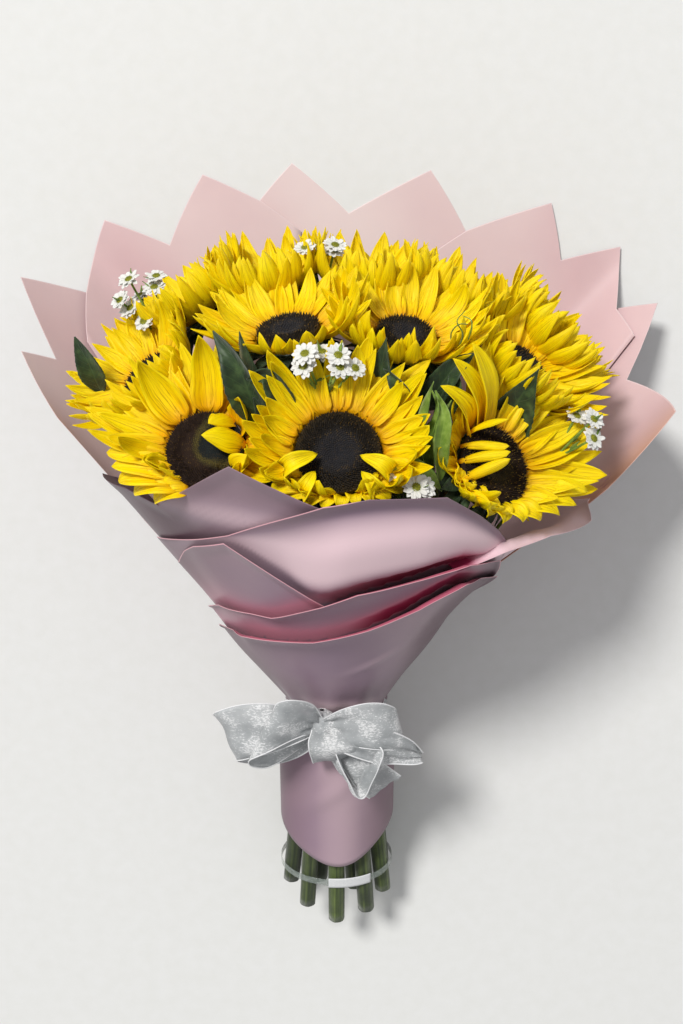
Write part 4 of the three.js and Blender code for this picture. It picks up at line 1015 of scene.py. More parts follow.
def disc_of(head):
    """The domed disc: a dark base with florets in a golden spiral, bristling towards its edge."""
    shape = Shape()
    rng = np.random.default_rng(DISC_SEED + head.number)
    radius = head.disc
    profile = [(radius - 2.4, RING_BOTTOM), (radius - 2.4, RING_TOP + 0.3), (radius + 0.3, RING_TOP + 0.3)]
    profile += [(radius * s, dome_height(s) - 0.6) for s in (1.0, 0.86, 0.7, 0.54, 0.38, 0.2)]
    points, faces = lathe(profile, DISC_SIDES, RING_BOTTOM, dome_height(0.0) - 0.6)
    zone = np.hypot(points[:, 0], points[:, 1]) / radius
    shape.add(head.world(points), [(0, part) for part in faces], zone, points[:, 0] / radius)

    count = FLORETS_SHOWN if head.shown else FLORETS_BEHIND
    share, angle = spiral(count)
    bristle = smooth(0.45, 0.75, share)
    height = 0.9 + 0.7 * bristle + rng.uniform(0, 1, count) * (0.4 + 1.7 * bristle)
    outward = np.stack((np.cos(angle), np.sin(angle), 0 * angle), axis=1)
    base = outward * (share * radius * 0.985)[:, None] + UP * (dome_height(share) - 0.7)[:, None]
    lean = 0.15 + 0.5 * smooth(0.7, 1.0, share)
    axis = unit(outward * lean[:, None] + UP + rng.normal(0, 0.12, (count, 3)))
    wide = radius * math.sqrt(math.pi / count) * rng.uniform(0.44, 0.56, count)
    narrow = wide * (0.85 - 0.45 * bristle)
    ring = np.array([ray(2 * math.pi * k / FLORET_SIDES) for k in range(FLORET_SIDES)])
    low = base[:, None] + ring * wide[:, None, None]
    high = (base + axis * (height * 0.7)[:, None])[:, None] + ring * narrow[:, None, None]
    tip = (base + axis * height[:, None])[:, None]
    florets = np.concatenate((low, high, tip), axis=1)
    corners = florets.shape[1]
    step = (np.arange(count) * corners)[:, None, None]
    k = np.arange(FLORET_SIDES)
    j = (k + 1) % FLORET_SIDES
    over_k, over_j = k + FLORET_SIDES, j + FLORET_SIDES
    walls = (np.stack((k, j, over_j, over_k), axis=1) + step).reshape(-1, 4)
    tops = (np.stack((over_k, over_j, 0 * k + corners - 1), axis=1) + step).reshape(-1, 3)
    tone = np.repeat(rng.uniform(0, 1, count), corners)
    tone = np.where(np.tile(np.arange(corners) < FLORET_SIDES, count), 0.0, tone)
    zone, side = np.repeat(share, corners), np.repeat(base[:, 0] / radius, corners)
    shape.add(head.world(florets.reshape(-1, 3)), [(0, walls), (0, tops)], zone, side, tone)
    return shape


# Stems, receptacles, bracts and leaves

STEM_SIDES = 18
RECEPTACLE_SIDES = 30
LEAF_ROWS = 37
LEAF_COLS = 9


def stem_path(head):
    angle = math.radians(head.slot)
    radius = INNER_RADIUS if head.inner else RING_RADIUS
    collar = head.at - head.facing * RECEPTACLE_DEPTH
    bend = head.at - head.facing * (RECEPTACLE_DEPTH + NECK_BEND)
    cut = [slot_point(angle, radius, along) for along in (-head.cut, -head.cut * 0.6)]
    tied = tied_route(angle, radius, bend, (0.03, 0.35, 0.7))
    return spline(np.array(cut + tied + [bend + (collar - bend) * 0.12, collar]), 90)


def add_leaf(shape, grid, slot, tone):
    t, u = grid_steps(*grid.shape[:2])
    thin(shape, grid, LEAF_THICK, slots=(slot, slot, slot), along=t, across=u, tone=tone)


def leaf_grid(base, toward, across, normal, length, width, bend, roll, phase):
    """A toothed leaf: it starts at base, runs towards its tip, bends along and rolls across."""
    t, u = grid_steps(LEAF_ROWS, LEAF_COLS)
    body = np.sin(math.pi * t**0.75) ** 0.85
    tooth = 1 - 0.07 * ((t * 17) % 1.0) * (np.abs(u) > 0.9)
    half = np.maximum(width / 2 * body, 0.6) * tooth
    lift = bend * t**2 * length + 0.1 * half * np.sin(9 * t + 2 * u + phase) * np.abs(u)
    turn = roll * u * (0.4 + 0.6 * np.sin(math.pi * t))
    wide = half * np.sin(turn) / roll
    deep = half * (1 - np.cos(turn)) / roll
    groove = -0.05 * half * bell(u, 0, 0.12)
    run = length * (t - 0.05 * np.abs(u) * body)
    high = lift + deep + groove
    return base + toward * run[..., None] + across * wide[..., None] + normal * high[..., None]


# Leaves that show between the flowers: stem, points of the middle line, width, roll, turn at each end
# and material
SHOWN_LEAVES = [
    ("front_right", [(61, 44, 222), (56, 68, 236), (56, 92, 252), (59, 110, 256), (54, 121, 250)],
     10, 0.7, 30, 70, BRIGHT_LEAF),
    ("front_middle", [(35, 84, 246), (43, 75, 254), (53, 67, 255), (62, 56, 244)],
     9, 0.6, -20, 40, BRIGHT_LEAF),
    ("front_middle", [(53, 48, 228), (49, 68, 246), (46, 84, 247), (46, 96, 243)],
     10, 0.5, 50, 10, BRIGHT_LEAF),
    ("front_right", [(61, 62, 242), (60, 86, 253), (62, 104, 256), (57, 119, 250)],
     11, 0.6, -40, 20, BRIGHT_LEAF),
    ("front_left", [(-50, 92, 220), (-57, 115, 234), (-66, 138, 240), (-79, 154, 232)],
     22, 0.7, 10, 40, DARK_LEAF),
    ("front_middle", [(-35, 95, 224), (-38, 115, 240), (-46, 128, 246), (-58, 125, 242)],
     16, 0.8, -30, 30, DARK_LEAF),
    ("front_middle", [(-45, 88, 224), (-48, 103, 238), (-54, 114, 242)], 11, 0.8, 40, 0, DARK_LEAF),
    ("front_right", [(54, 104, 216), (60, 118, 228), (70, 132, 234), (82, 140, 230)],
     17, 0.5, 20, -10, DARK_LEAF),
    ("front_right", [(60, 96, 214), (66, 108, 226), (70, 121, 232), (68, 134, 230)],
     13, 0.6, -20, 20, DARK_LEAF),
    ("side_left", [(-163, 108, 146), (-169, 128, 160), (-177, 147, 164)], 17, 0.35, 10, 20, DARK_LEAF),
    ("middle_right", [(41, 108, 230), (38, 119, 240), (31, 128, 242), (26, 131, 236)],
     12, 0.8, 20, 60, DARK_LEAF),
]

# Fine green threads that curl between two of the heads
CURLS = [[(72, 140, 214), (75, 152, 228), (71, 160, 232), (76, 166, 228)],
         [(74, 140, 212), (79, 150, 226), (80, 160, 230), (75, 163, 224)],
         [(70, 142, 214), (68, 153, 228), (72, 158, 234), (78, 158, 230)]]
CURLS_ON = "middle_right"


def curved_leaf(points, width, roll, turn_from, turn_to):
    """A leaf along a line of points. It rolls across, and turns from one angle to another."""
    line = even(spline(points, 80), LEAF_ROWS)
    run = unit(np.gradient(line, axis=0))
    side = unit(np.cross(run, TOWARD_CAMERA))
    t, u = grid_steps(LEAF_ROWS, LEAF_COLS)
    side, normal = turned(side, np.cross(side, run), np.radians(turn_from + (turn_to - turn_from) * t))
    tooth = 1 - 0.06 * ((t * 15) % 1.0) * (np.abs(u) > 0.9)
    half = np.maximum(width / 2 * np.sin(math.pi * t**0.8) ** 0.8, 0.5) * tooth
    return beside(line, side, normal, u * half, roll * half * u * u + 0.12 * half * np.sin(8 * t + 2 * u))


def add_bracts(shape, head, rng):
    """Two rows of pointed bracts that stand out from the receptacle's rim."""
    for row, (count, length, droop) in enumerate(((13, 27, 26), (12, 22, 8))):
        for i in range(count):
            spin = 2 * math.pi * (i + 0.5 * row + rng.uniform(-0.2, 0.2)) / count
            outward, sideways = ray(spin) @ head.basis, ray(spin + math.pi / 2) @ head.basis
            root = head.at + outward * (head.disc - 4) + head.facing * (RING_BOTTOM - 4 + 2 * row)
            for tilt in np.radians(np.arange(droop, 86, 8)):
                toward = outward * math.cos(tilt) - head.facing * math.sin(tilt)
                path = root + toward * np.linspace(8, length, 5)[:, None]
                if not crowded(head, path[None], 4.0, 11.0)[0]:
                    normal = outward * math.sin(tilt) + head.facing * math.cos(tilt)
                    grid = leaf_grid(root, toward, sideways, normal, length * rng.uniform(0.9, 1.1), 11,
                                     rng.uniform(-0.25, 0.3), 0.7, rng.uniform(0, 6))
                    add_leaf(shape, grid[::3, ::2], DARK_LEAF, rng.uniform(0, 0.7))
                    break


def add_stalked_leaf(shape, rng, path, row):
    """A leaf that stands between two heads, and its stalk from the stem."""
    stem, neighbour, mix, reach, shift, width, sway, slot = row
    owner, other = HEAD_BY_NAME[stem], HEAD_BY_NAME[neighbour]
    toward = unit(owner.toward + (other.toward - owner.toward) * mix)
    normal = unit(other.toward - owner.toward)
    across = unit(np.cross(toward, normal))
    base = NECK + toward * reach[0] + across * shift
    length = reach[1] - reach[0]
    grid = leaf_grid(base, toward, across, normal, length, width, sway / 60, 0.9, rng.uniform(0, 6))
    add_leaf(shape, grid, slot, rng.uniform(0, 0.4))
    away = np.abs(np.linalg.norm(path - NECK, axis=1) - (reach[0] - STALK_DROP))
    joint = path[np.argmin(away + 1000 * (path[:, 1] < NECK[1]))]
    half = joint + (base - joint) * 0.55 - toward * 6
    stalk = spline([joint, half, base, base + toward * length * 0.1], 14)
    tube(shape, stalk, np.linspace(1.9, 1.2, len(stalk)), 8, slot, tone=0.2)


def stem_of(head):
    """A stem with its receptacle, bracts and leaves."""
    shape = Shape()
    rng = np.random.default_rng(STEM_SEED + head.number)
    path = stem_path(head)
    steps = np.linspace(0, 1, len(path))[:, None]
    turn = np.arange(STEM_SIDES)[None] / STEM_SIDES
    ridge = 0.16 * np.sin(2 * math.pi * 6 * turn + rng.uniform(0, 6)) + 0.12 * np.sin(40 * steps + 9 * turn)
    radii = STEM_RADIUS - 0.2 - 0.7 * smooth(0.35, 1.0, steps) + ridge
    tone = rng.uniform(0, 0.6) if head.cut > LONG_CUT else rng.uniform(0.5, 1)
    tube(shape, path, radii, STEM_SIDES, GREEN, CUT, tone)
    top = RING_BOTTOM - 0.3
    radius = head.disc
    foot = top - 14
    profile = [(0.3, foot), (STEM_RADIUS + 0.5, foot), (radius * 0.5, top - 11.5), (radius * 0.8, top - 8),
               (radius * 0.97, top - 4), (radius, top - 1.5), (radius * 0.9, top), (0.3, top)]
    points, faces = lathe(profile, RECEPTACLE_SIDES, foot, top)
    shape.add(head.world(points), [(DARK_LEAF, part) for part in faces], 0.4, 0.5, 0.3)
    add_bracts(shape, head, rng)
    for owner, points, width, roll, turn_from, turn_to, slot in SHOWN_LEAVES:
        if owner == head.name:
            add_leaf(shape, curved_leaf(points, width, roll, turn_from, turn_to), slot, 0.1)
    for points in CURLS if head.name == CURLS_ON else ():
        tube(shape, spline(points, 40), np.linspace(0.6, 0.25, 41), 6, BRIGHT_LEAF)
    for row in LEAVES:
        if row[0] == head.name:
            add_stalked_leaf(shape, rng, path, row)
    return shape


# Sprays of small daisies

# Slots of the materials on a spray
WHITE, BUTTONS, STALKS = range(3)
DAISY_PETALS = 13
DAISY_FLORETS = 42
DAISY_CORE = 3.0
DOME_SIDES = 12


def draws(seed):
    """The same repeatable draws as the solids use, so that the daisies keep their places."""
    state = [seed]

    def draw(low, high):
        state[0] = (state[0] * 1664525 + 1013904223) % 4294967296
        return low + (high - low) * state[0] / 4294967296
    return draw


def add_daisy(shape, rng, spot, facing, radius):
    """One daisy: two rings of petals round a domed button of florets, with a green cup below."""
    across = unit(np.cross(facing, RIGHT if abs(facing[2]) > 0.9 else UP))
    basis = np.array((across, np.cross(facing, across), facing))
    t, u = grid_steps(7, 5)
    for ring in range(2):
        count = DAISY_PETALS - 3 * ring
        for k in range(count):
            spin = 2 * math.pi * (k + 0.5 * ring + rng.uniform(-0.15, 0.15)) / count
            out, side = ray(spin) @ basis, ray(spin + math.pi / 2) @ basis
            length = (radius - 2.2) * rng.uniform(0.9, 1.08) * (1 - 0.18 * ring)
            half = 1.75 * np.minimum(1, 0.45 + 1.3 * t) * np.sqrt(np.maximum(1 - t**4, 0.02))
            lift = rng.uniform(-0.25, 0.35) * length * t**1.6 + 0.3 * half * u**2 + 0.6 * ring
            reach = out * (2.0 + length * t)[..., None]
            grid = spot + reach + side * (half * u)[..., None] + facing * lift[..., None]
            thin(shape, grid, DAISY_THICK, (WHITE, WHITE, WHITE), t, u, rng.uniform())
    corners = [ray(k * math.pi / 2) @ basis * 0.27 for k in range(4)]
    walls = [[k, (k + 1) % 4, (k + 1) % 4 + 4, k + 4] for k in range(4)]
    tops = [[k + 4, (k + 1) % 4 + 4, 8] for k in range(4)]
    for share, angle in zip(*spiral(DAISY_FLORETS)):
        centre = spot + ray(angle) @ basis * DAISY_CORE * share + facing * 1.9 * (1 - 0.6 * share * share)
        high = [centre + corner for corner in corners]
        low = [point - facing * 0.9 for point in high]
        shape.add(low + high + [centre + facing * 0.3], [(BUTTONS, walls), (BUTTONS, tops)], share)
    wide = DAISY_CORE * 1.05
    profile = [(1.0, -2.4)] + [(wide * s, 1.5 * (1 - 0.6 * s * s)) for s in (1.0, 0.8, 0.5, 0.2)]
    points, (walls, _, _) = lathe(profile, DOME_SIDES, 0, 0)
    index = np.arange(len(profile) * DOME_SIDES)
    caps = [(STALKS, index[None, DOME_SIDES - 1::-1]), (BUTTONS, index[None, -DOME_SIDES:])]
    walls = [(BUTTONS, walls[DOME_SIDES:]), (STALKS, walls[:DOME_SIDES])]
    shape.add(spot + points[:-2] @ basis, walls + caps, 0.5, 0.5)


# More daisies of each spray: where they stand from its middle, and their radius
EXTRA_DAISIES = {
    "left": [((-8, 12, 6), 8.5), ((10, 14, 2), 8.0), ((-14, -2, 8), 8.0), ((2, -16, 10), 7.5)],
    "back": [((-10, 2, 4), 8.0), ((9, 0, 3), 7.5)],
    "middle": [((-10, 3, 4), 9.0), ((10, 2, 2), 8.5), ((20, -6, 0), 7.5)],
    "front": [((4, -6, 4), 9.0)],
    "right": [((6, 4, 2), 8.0)],
}
DAISY_RADIUS = 8.6


def spray_of(number, row):
    name, groove, at, daisies = row
    shape = Shape()
    rng = np.random.default_rng(SPRAY_SEED + number)
    draw = draws(DRAW_SEED + number)
    angle = math.radians(groove)
    at = np.array(at, float)
    toward = unit(at - NECK)
    across = unit(np.cross(toward, UP))
    upward = unit(np.cross(across, toward))
    fork = at - toward * SPRAY_FORK
    main = [slot_point(angle, SPRAY_RING, along) for along in (-118, -70)]
    main += tied_route(angle, SPRAY_RING, fork, (0.03, 0.5, 1)) + [fork + toward * 6]
    path = spline(np.array(main), 80)
    tube(shape, path, np.linspace(SPRAY_STEM, 1.1, len(path)), 8, STALKS, tone=0.3)
    spots = []
    far = 7.5 + 1.5 * daisies
    for k in range(daisies):
        spin = 2 * math.pi * (k + draw(-0.15, 0.15)) / daisies + 0.6
        spot = at + across * far * math.cos(spin) + upward * far * math.sin(spin) + toward * draw(-4, 4)
        spots.append((spot, DAISY_RADIUS))
    spots += [(at + np.array(shift, float), radius) for shift, radius in EXTRA_DAISIES.get(name, ())]
    for spot, radius in spots:
        facing = unit(unit(spot - fork) + np.array((0.0, 0.12, 0.54)))
        back = spot - facing * 2
        bend = fork + (back - fork) * 0.6 - facing * 3
        stalk = spline(np.array([fork, bend, back, spot - facing * 0.5]), 14)
        tube(shape, stalk, np.linspace(0.9, 0.7, len(stalk)), 6, STALKS, tone=0.1)
        add_daisy(shape, rng, spot, facing, radius)
        for share in (0.35, 0.7):
            root = stalk[int(share * 14)]
            out = unit(rng.normal(0, 1, 3))
            sideways = unit(np.cross(out, toward))
            grid = leaf_grid(root, unit(out + toward), sideways, out, 9, 3.2, 0.2, 0.5, rng.uniform(0, 6))
            add_leaf(shape, grid[::4, ::2], STALKS, 0.1)
    return shape


# Paper sheets

def paper_grid(angle, reach, layer, rise):
    """Points of a sheet at angle and reach, raised outwards by rise. Layers draw together at the sides."""
    degrees = np.degrees(angle)
    right = smooth(52, 30, degrees) * smooth(-30, -10, degrees)
    left = smooth(138, 165, degrees) * smooth(215, 195, degrees)
    drawn = 1 - 0.5 * (right + left) * smooth(50, 110, reach)
    pleat = 0.8 * np.sin(11 * angle + 1.0) + 0.5 * np.sin(17 * angle)
    radius = paper_radius(angle, reach, layer * drawn) + rise + pleat * bell(reach, 14, 26)
    grid = around(reach, radius, angle)
    lowest = PAPER_HALF + FLOOR_STEP * max(0, 1 - layer)
    over = grid[..., 2] - lowest
    grid[..., 2] = lowest + (over + np.hypot(over, FLOOR_CURVE)) / 2
    return grid


def soft_folds(angle, reach):
    """The slow waves that all layers of the wrap share."""
    waves = 1.4 * np.sin(3 * angle + reach / 70) + 0.8 * np.sin(7 * angle - reach / 48 + 1.3)
    return waves * smooth(10, 200, reach)


POCKETS = ("pocket_upper", "pocket_lower")
UNCOVERED = -1000.0


def covered_to(name, degrees, covers):
    """How far out the named sheets outside this one cover it, at each angle."""
    reach = np.full_like(degrees, UNCOVERED)
    for other in covers:
        if SHEETS[other][0] > SHEETS[name][0]:
            reach = np.maximum(reach, edge_reach(other, degrees, UNCOVERED))
    return reach


def painted_lip_light(name, degrees, reach):
    """Painted reflected light that the pockets' lips throw back on a sheet: coral, and crimson painted into
    the shaded gap inside at the right.
    """
    above = reach - covered_to(name, degrees, POCKETS)
    coral = 0.5 * np.exp(-np.maximum(above, 0) / (5 + 10 * smooth(118, 150, degrees)))
    crimson = 0.45 * np.exp(-np.maximum(above, 0) / 3) * smooth(88, 68, degrees)
    return np.where(above > -12, coral + crimson, 0.0) * smooth(28, 46, degrees)


# How far the main flap stands out, by its share of the way from the pocket to its own rim
FLAP_SWELL = spline([(-0.3, 0), (-0.15, 1.5), (0, 5.5), (0.05, 9), (0.13, 10.5), (0.38, 9), (0.65, 3),
                     (0.87, -2.5), (1, 1.5)], 90)

# How far below the rim the last rows of a sheet lie
RIM_STEPS = np.array((16, 13, 10.5, 8, 6, 4.2, 2.8, 1.6, 0.8, 0.0))
SHEET_ROWS = 42
COLUMN_DEGREES = 1.6
FINE_SHEETS = ("front_main", "back_right")
FINER = 1.5


def sheet_rows(top, rows):
    """Reaches from the foot to the rim, closer together towards the rim."""
    share = np.linspace(0, 1, rows)[:-1, None]
    lower = SHEET_FOOT + (top - RIM_STEPS[0] - SHEET_FOOT) * share**0.9
    return np.concatenate((lower, top - RIM_STEPS[:, None]))


def flap_share(degrees, reach):
    """Where a point of the main flap lies: 0 at the sheets over it, 1 at its own rim. And their distance."""
    near = [degrees + shift for shift in (-6, -3, 0, 3, 6)]
    gate = np.mean([covered_to("front_main", at, ("front_low",) + POCKETS) for at in near], axis=0)
    top = np.mean([edge_reach("front_main", at) for at in near], axis=0)
    span = np.maximum(top - gate, 1.0)
    return np.clip((reach - gate) / span, -0.3, 1), span


def sheet_rise(name, degrees, reach, down):
    """How far the sheet stands out from the plain cone."""
    folds = soft_folds(np.radians(degrees), reach)
    if name.startswith("back"):
        ridge = 1.6 * np.sin(np.radians(degrees) * 9 + reach / 60) * smooth(120, 260, reach)
        layer, edge = SHEETS[name]
        from_side = np.minimum(degrees - edge[0][0], edge[-1][0] - degrees)
        tucked = 2.2 * smooth(7, 0, from_side) if layer == 0 else 0.0
        return ridge - 0.5 * folds + tucked
    if name == "front_main":
        share, span = flap_share(degrees, reach)
        strength = smooth(26, 44, degrees) * smooth(112, 86, degrees) * np.clip(span / 62, 0, 1)
        return folds + np.interp(share, FLAP_SWELL[:, 0], FLAP_SWELL[:, 1]) * strength
    if name == "front_left":
        return folds + 2.0 * smooth(14, 0, down) + 2.5 * bell(reach, 204, 15) * smooth(165, 135, degrees)
    if name == "pocket_lower":
        neck = 1.6 * bell(reach, 27 + 0.08 * (degrees - 80), 5) * bell(degrees, 80, 34)
        return folds + neck + 1.1 * bell(reach, 77 - 0.6 * (degrees - 67), 4) * bell(degrees, 67, 14)
    if name == "front_low":
        lip = 2.5 * smooth(12, 0, down) * smooth(86, 100, degrees) * smooth(148, 126, degrees)
        return folds + lip - 1.8 * smooth(132, 156, degrees)
    return folds


def sheet_painted_light(name, degrees, reach):
    """Painted light on a front sheet: a painted highlight up to 1, and painted shade down to -1."""
    # Painted shade towards the left and right sides of the wrap
    sides = -0.8 * (smooth(116, 166, degrees) + smooth(60, 20, degrees))
    if name == "front_left":
        # A painted highlight band across the left flap, which is painted a little darker overall
        return sides + 0.8 * bell(reach, 207, 13) * smooth(168, 142, degrees) - 0.28
    if name == "front_right":
        # The right fold is painted paler, with less painted shade at its side
        return sides * 0.2 + 0.9
    if name == "pocket_lower":
        # Painted highlights: a pale fold round the neck and a crease lower down
        neck = 0.9 * bell(reach, 25 + 0.08 * (degrees - 80), 5) * bell(degrees, 80, 30)
        return sides + neck + 0.22 * bell(reach, 80 - 0.6 * (degrees - 67), 4) * bell(degrees, 67, 14)
    if name != "front_main":
        return sides
    # A painted satin highlight across the main flap, with painted shade along its rim and towards its left
    # end
    share = flap_share(degrees, reach)[0]
    band = smooth(0.0, 0.24, share) * smooth(0.9, 0.6, share)
    band = band * smooth(20, 34, degrees) * smooth(142, 102, degrees)
    return band - 0.35 * smooth(0.8, 0.97, share) - 0.5 * smooth(140, 165, degrees)


def sheet_lip(name, degrees, down):
    """How far a turned rim stands out and how far it drops."""
    if name == "pocket_lower":
        left = smooth(130, 158, degrees)
        out = (6.0 + 3.0 * smooth(108, 140, degrees)) * smooth(34, 54, degrees) * smooth(146, 126, degrees)
        return out * smooth(17 + 30 * left, 0, down) ** 1.3, 3.5 * smooth(6, 0, down)
    if name == "pocket_upper":
        out = 5.0 * smooth(128, 108, degrees) * smooth(38, 56, degrees)
        return out * smooth(15, 0, down) ** 1.3, 3.0 * smooth(6, 0, down)
    if name == "front_right":
        turn = smooth(7, 13, degrees)
        return 9.0 * smooth(12, 0, down) * turn, 9.0 * smooth(9, 0, down) * turn
    return 0.0 * down, 0.0 * down


def add_paper(shape, grid, painted_light, slots=(0, 1, 1), across=0.0, tone=0.0):
    """A sheet of paper whose first slot is its outer face."""
    values = [np.broadcast_to(value, grid.shape[:2])[:, ::-1] for value in (painted_light, across, tone)]
    thin(shape, grid[:, ::-1], PAPER, slots, *values)


def sheet_piece(name):
    layer, edge = SHEETS[name]
    front = name.startswith(("front", "pocket"))
    pocket = name in POCKETS
    corners = [corner for corner, _ in edge]
    finer = FINER if name in FINE_SHEETS else 1
    dense = np.arange(math.ceil(corners[0]), corners[-1], COLUMN_DEGREES / finer)
    spaced = {d for d in dense if min(abs(d - corner) for corner in corners) > 0.6 / finer}
    degrees = np.array(sorted(set(corners) | spaced), float)[None]
    top = edge_reach(name, degrees)
    reach = sheet_rows(top, int(SHEET_ROWS * finer))
    degrees = degrees + 0 * reach
    angle = np.radians(degrees)
    down = top - reach
    grid = paper_grid(angle, reach, layer, sheet_rise(name, degrees, reach, down))
    out, drop = sheet_lip(name, degrees, down)
    grid = grid + (around(0, 1, angle) - NECK) * out[..., None] - AXIS * drop[..., None]
    near_edge = np.clip(1 - down / 1.2, 0, 1)
    if front:
        # Painted light thrown back by the pockets' lips
        tone = painted_lip_light(name, degrees, reach)
        # Painted highlight and painted shade
        painted_light = sheet_painted_light(name, degrees, reach)
        if not pocket:
            near_edge = near_edge * (smooth(80, 90, degrees) if name != "front_left" else 0.0)
    else:
        tone = 0.8 * smooth(346, 364, degrees) + 0.8 * smooth(192, 180, degrees) * smooth(190, 215, reach)
        # Painted highlight: paler at the top of the collar and towards its left, in slight waves
        painted_light = 0.5 * bell(degrees, 272, 30) + 0.1 * np.sin(degrees / 4.5 + reach / 28)
        painted_light = painted_light + 0.3 * smooth(225, 195, degrees)
    shape = Shape()
    add_paper(shape, grid, painted_light, across=near_edge, tone=tone)
    inner = PAPER_CORAL if pocket else PAPER_OUTER if front else PAPER_BACK
    piece = shape.piece(f"sheet_{name}", (PAPER_OUTER, inner))
    return dress(piece, "paper_outer" if front else "paper_inner", f"paper_{name}")


def skirt_piece():
    """The paper below the tie, and a fold of it that stands up round the neck above the ribbon."""
    shape = Shape()
    angle = np.radians(np.arange(-60, 240.1, 3.0))[None]
    share = np.linspace(0, 1, 44)[:, None]
    bottom = -(SKIRT_SIDE + SKIRT_FRONT * np.maximum(0, np.sin(angle))**1.5)
    along = bottom + (SKIRT_TOP - bottom) * (1 - (1 - share)**1.5)
    swell = np.sin(math.pi / 2 * np.minimum(1, (SKIRT_TOP - along) / SKIRT_SWELL))
    wider = SKIRT_WIDER * np.cos(angle)**2 + SKIRT_HIGHER * np.sin(angle)**2
    crease = 1.6 * bell((along + 62) / 9 + (angle - 1.7) * 3.2, 0, 1) * bell(angle, 1.7, 0.45)
    pleats = 0.8 * np.sin(5 * angle + 0.8) * swell + 0.7 * np.sin(13 * angle) * bell(along, SKIRT_TOP, 16)
    radius = PAPER_NECK + LAYER_STEP + swell * wider + crease + pleats
    # Painted highlight down the front of the skirt, and painted shade towards its sides
    painted_light = 0.25 * bell(angle, 1.45, 0.5) - 0.7 * np.abs(np.cos(angle))**2.5
    add_paper(shape, around(along, radius, angle), painted_light)
    angle = np.radians(np.arange(-30, 210.1, 2.0))[None]
    share = np.linspace(0, 1, 12)[:, None]
    height = 10 + 2.4 * np.sin(4 * angle + 0.6) + 1.3 * np.sin(9 * angle)
    flare = 2.4 * np.sin(angle)**2 - 3.9 * np.cos(angle)**2 + 0.5 * np.sin(9 * angle)
    grid = around(NECK_FOLD_FROM + height * share, NECK_FOLD_RADIUS + share * flare, angle)
    # The fold round the neck is painted paler towards its top, a painted highlight
    add_paper(shape, grid, 0.5 * share, slots=(0, 0, 0))
    piece = shape.piece("sheet_skirt", (PAPER_OUTER, PAPER_CORAL))
    return dress(piece, "paper_outer", "paper_skirt")


# Organza ribbon

BOW_ORIGIN = bundle_point(*KNOT_AT)

# Each strip of the bow: rows of across, down, out and width, and the way its width points
BOW_STRIPS = {
    "left_outer": ([(-2.2, -1.9, 2, 12), (-21.7, -10.5, 12, 34), (-46.2, -7.7, 16, 44), (-65, 0.2, 12, 45),
                    (-69.3, 8.2, 3, 44), (-60.6, 17.1, -3, 43), (-41.2, 21.5, -5, 38),
                    (-17.3, 13.9, -3, 24), (-2.2, 2.2, -1, 12)], (-0.4, -1, 0)),
    "left_inner": ([(-1.4, -3.8, 4, 12), (-13.7, -14.8, 14, 34), (-29.6, -16.1, 21, 47),
                    (-41.2, -8.5, 19, 49), (-44, 3.4, 12, 48), (-33.9, 11.5, 6, 44), (-17.3, 8.5, 4, 30),
                    (-2.2, 1.4, 2, 12)], (0.35, -1, 0)),
    "middle": ([(0.7, -2.9, 4, 14), (5.1, 0.7, 14, 30), (8.7, 8.1, 17, 36), (10.8, 18.7, 11, 37),
                (11.6, 24.9, 4, 37), (8.7, 19.1, 1, 34), (4.3, 9.3, 1, 22), (0.7, 0.3, 1, 12)],
               (1, -0.15, 0)),
    "hanging": ([(2.2, -0.8, 3, 14), (5.8, 11.8, 7, 24), (11.6, 30.4, 9, 27), (18.1, 45.6, 8, 27),
                 (23.1, 47.8, 7, 26), (28.2, 33.1, 10, 25), (33.9, 15.2, 13, 25), (37.5, 2.6, 12, 22),
                 (28.9, -0.7, 6, 14)], (0.5, 0.3, 0.8)),
    "right": ([(2.2, -3.8, 4, 12), (16.6, -9.9, 14, 30), (34.7, -12.6, 19, 38), (49.8, -8.8, 15, 40),
               (56.3, 0.9, 6, 40), (44.8, 9.2, -2, 34), (23.8, 6.8, -2, 26), (4.3, 0.3, 1, 12)],
              (0.15, 1, 0)),
    "right_tail": ([(4.3, -0.5, 4, 12), (21.7, 0.7, 14, 24), (43.3, 6.5, 17, 30), (59.2, 14.1, 12, 24),
                    (71.5, 22.4, 4, 6)], (-0.35, 1, 0)),
    "low_tail": ([(4.3, 1.4, 2, 12), (17.3, 17.3, 6, 22), (31.8, 34.2, 8, 28), (46.2, 54, 3, 32)],
                 (0.7, -0.72, 0)),
}
STRIP_ROWS = 72
STRIP_COLS = 15


def ribbon_strip(shape, threads, rows, pointing, rng):
    """One strip of ribbon, its soft cross folds, and the fine thread along both of its edges."""
    path = even(spline(rows, 160), STRIP_ROWS)
    spots = BOW_ORIGIN + RIGHT * path[:, :1] - AXIS * path[:, 1:2] + FRONT * path[:, 2:3]
    across = unit(RIGHT * pointing[0] - AXIS * pointing[1] + FRONT * pointing[2])[None]
    normal = unit(np.cross(unit(np.gradient(spots, axis=0)), across))
    t, u = grid_steps(STRIP_ROWS, STRIP_COLS)
    half = path[:, 3:4] / 2
    wave = rng.uniform(0, 6, 3)
    fold = np.clip(1 - half / 20, 0, 1) * 2.6 * np.sin(5.5 * math.pi * u / 2 + wave[0])
    fold = fold + 1.3 * np.sin(2.2 * u + 7 * t + wave[1]) + 0.5 * np.sin(5 * u - 16 * t + wave[2])
    fold = fold + 1.6 * np.abs(u) ** 3 * np.sin(9 * t + wave[0])
    grid = beside(spots, across, normal, u * half, fold)
    thin(shape, grid, RIBBON_THICK, along=t, across=u, tone=rng.uniform())
    for side in (0, -1):
        tube(threads, grid[:, side], THREAD_RADIUS, 6)
    return grid


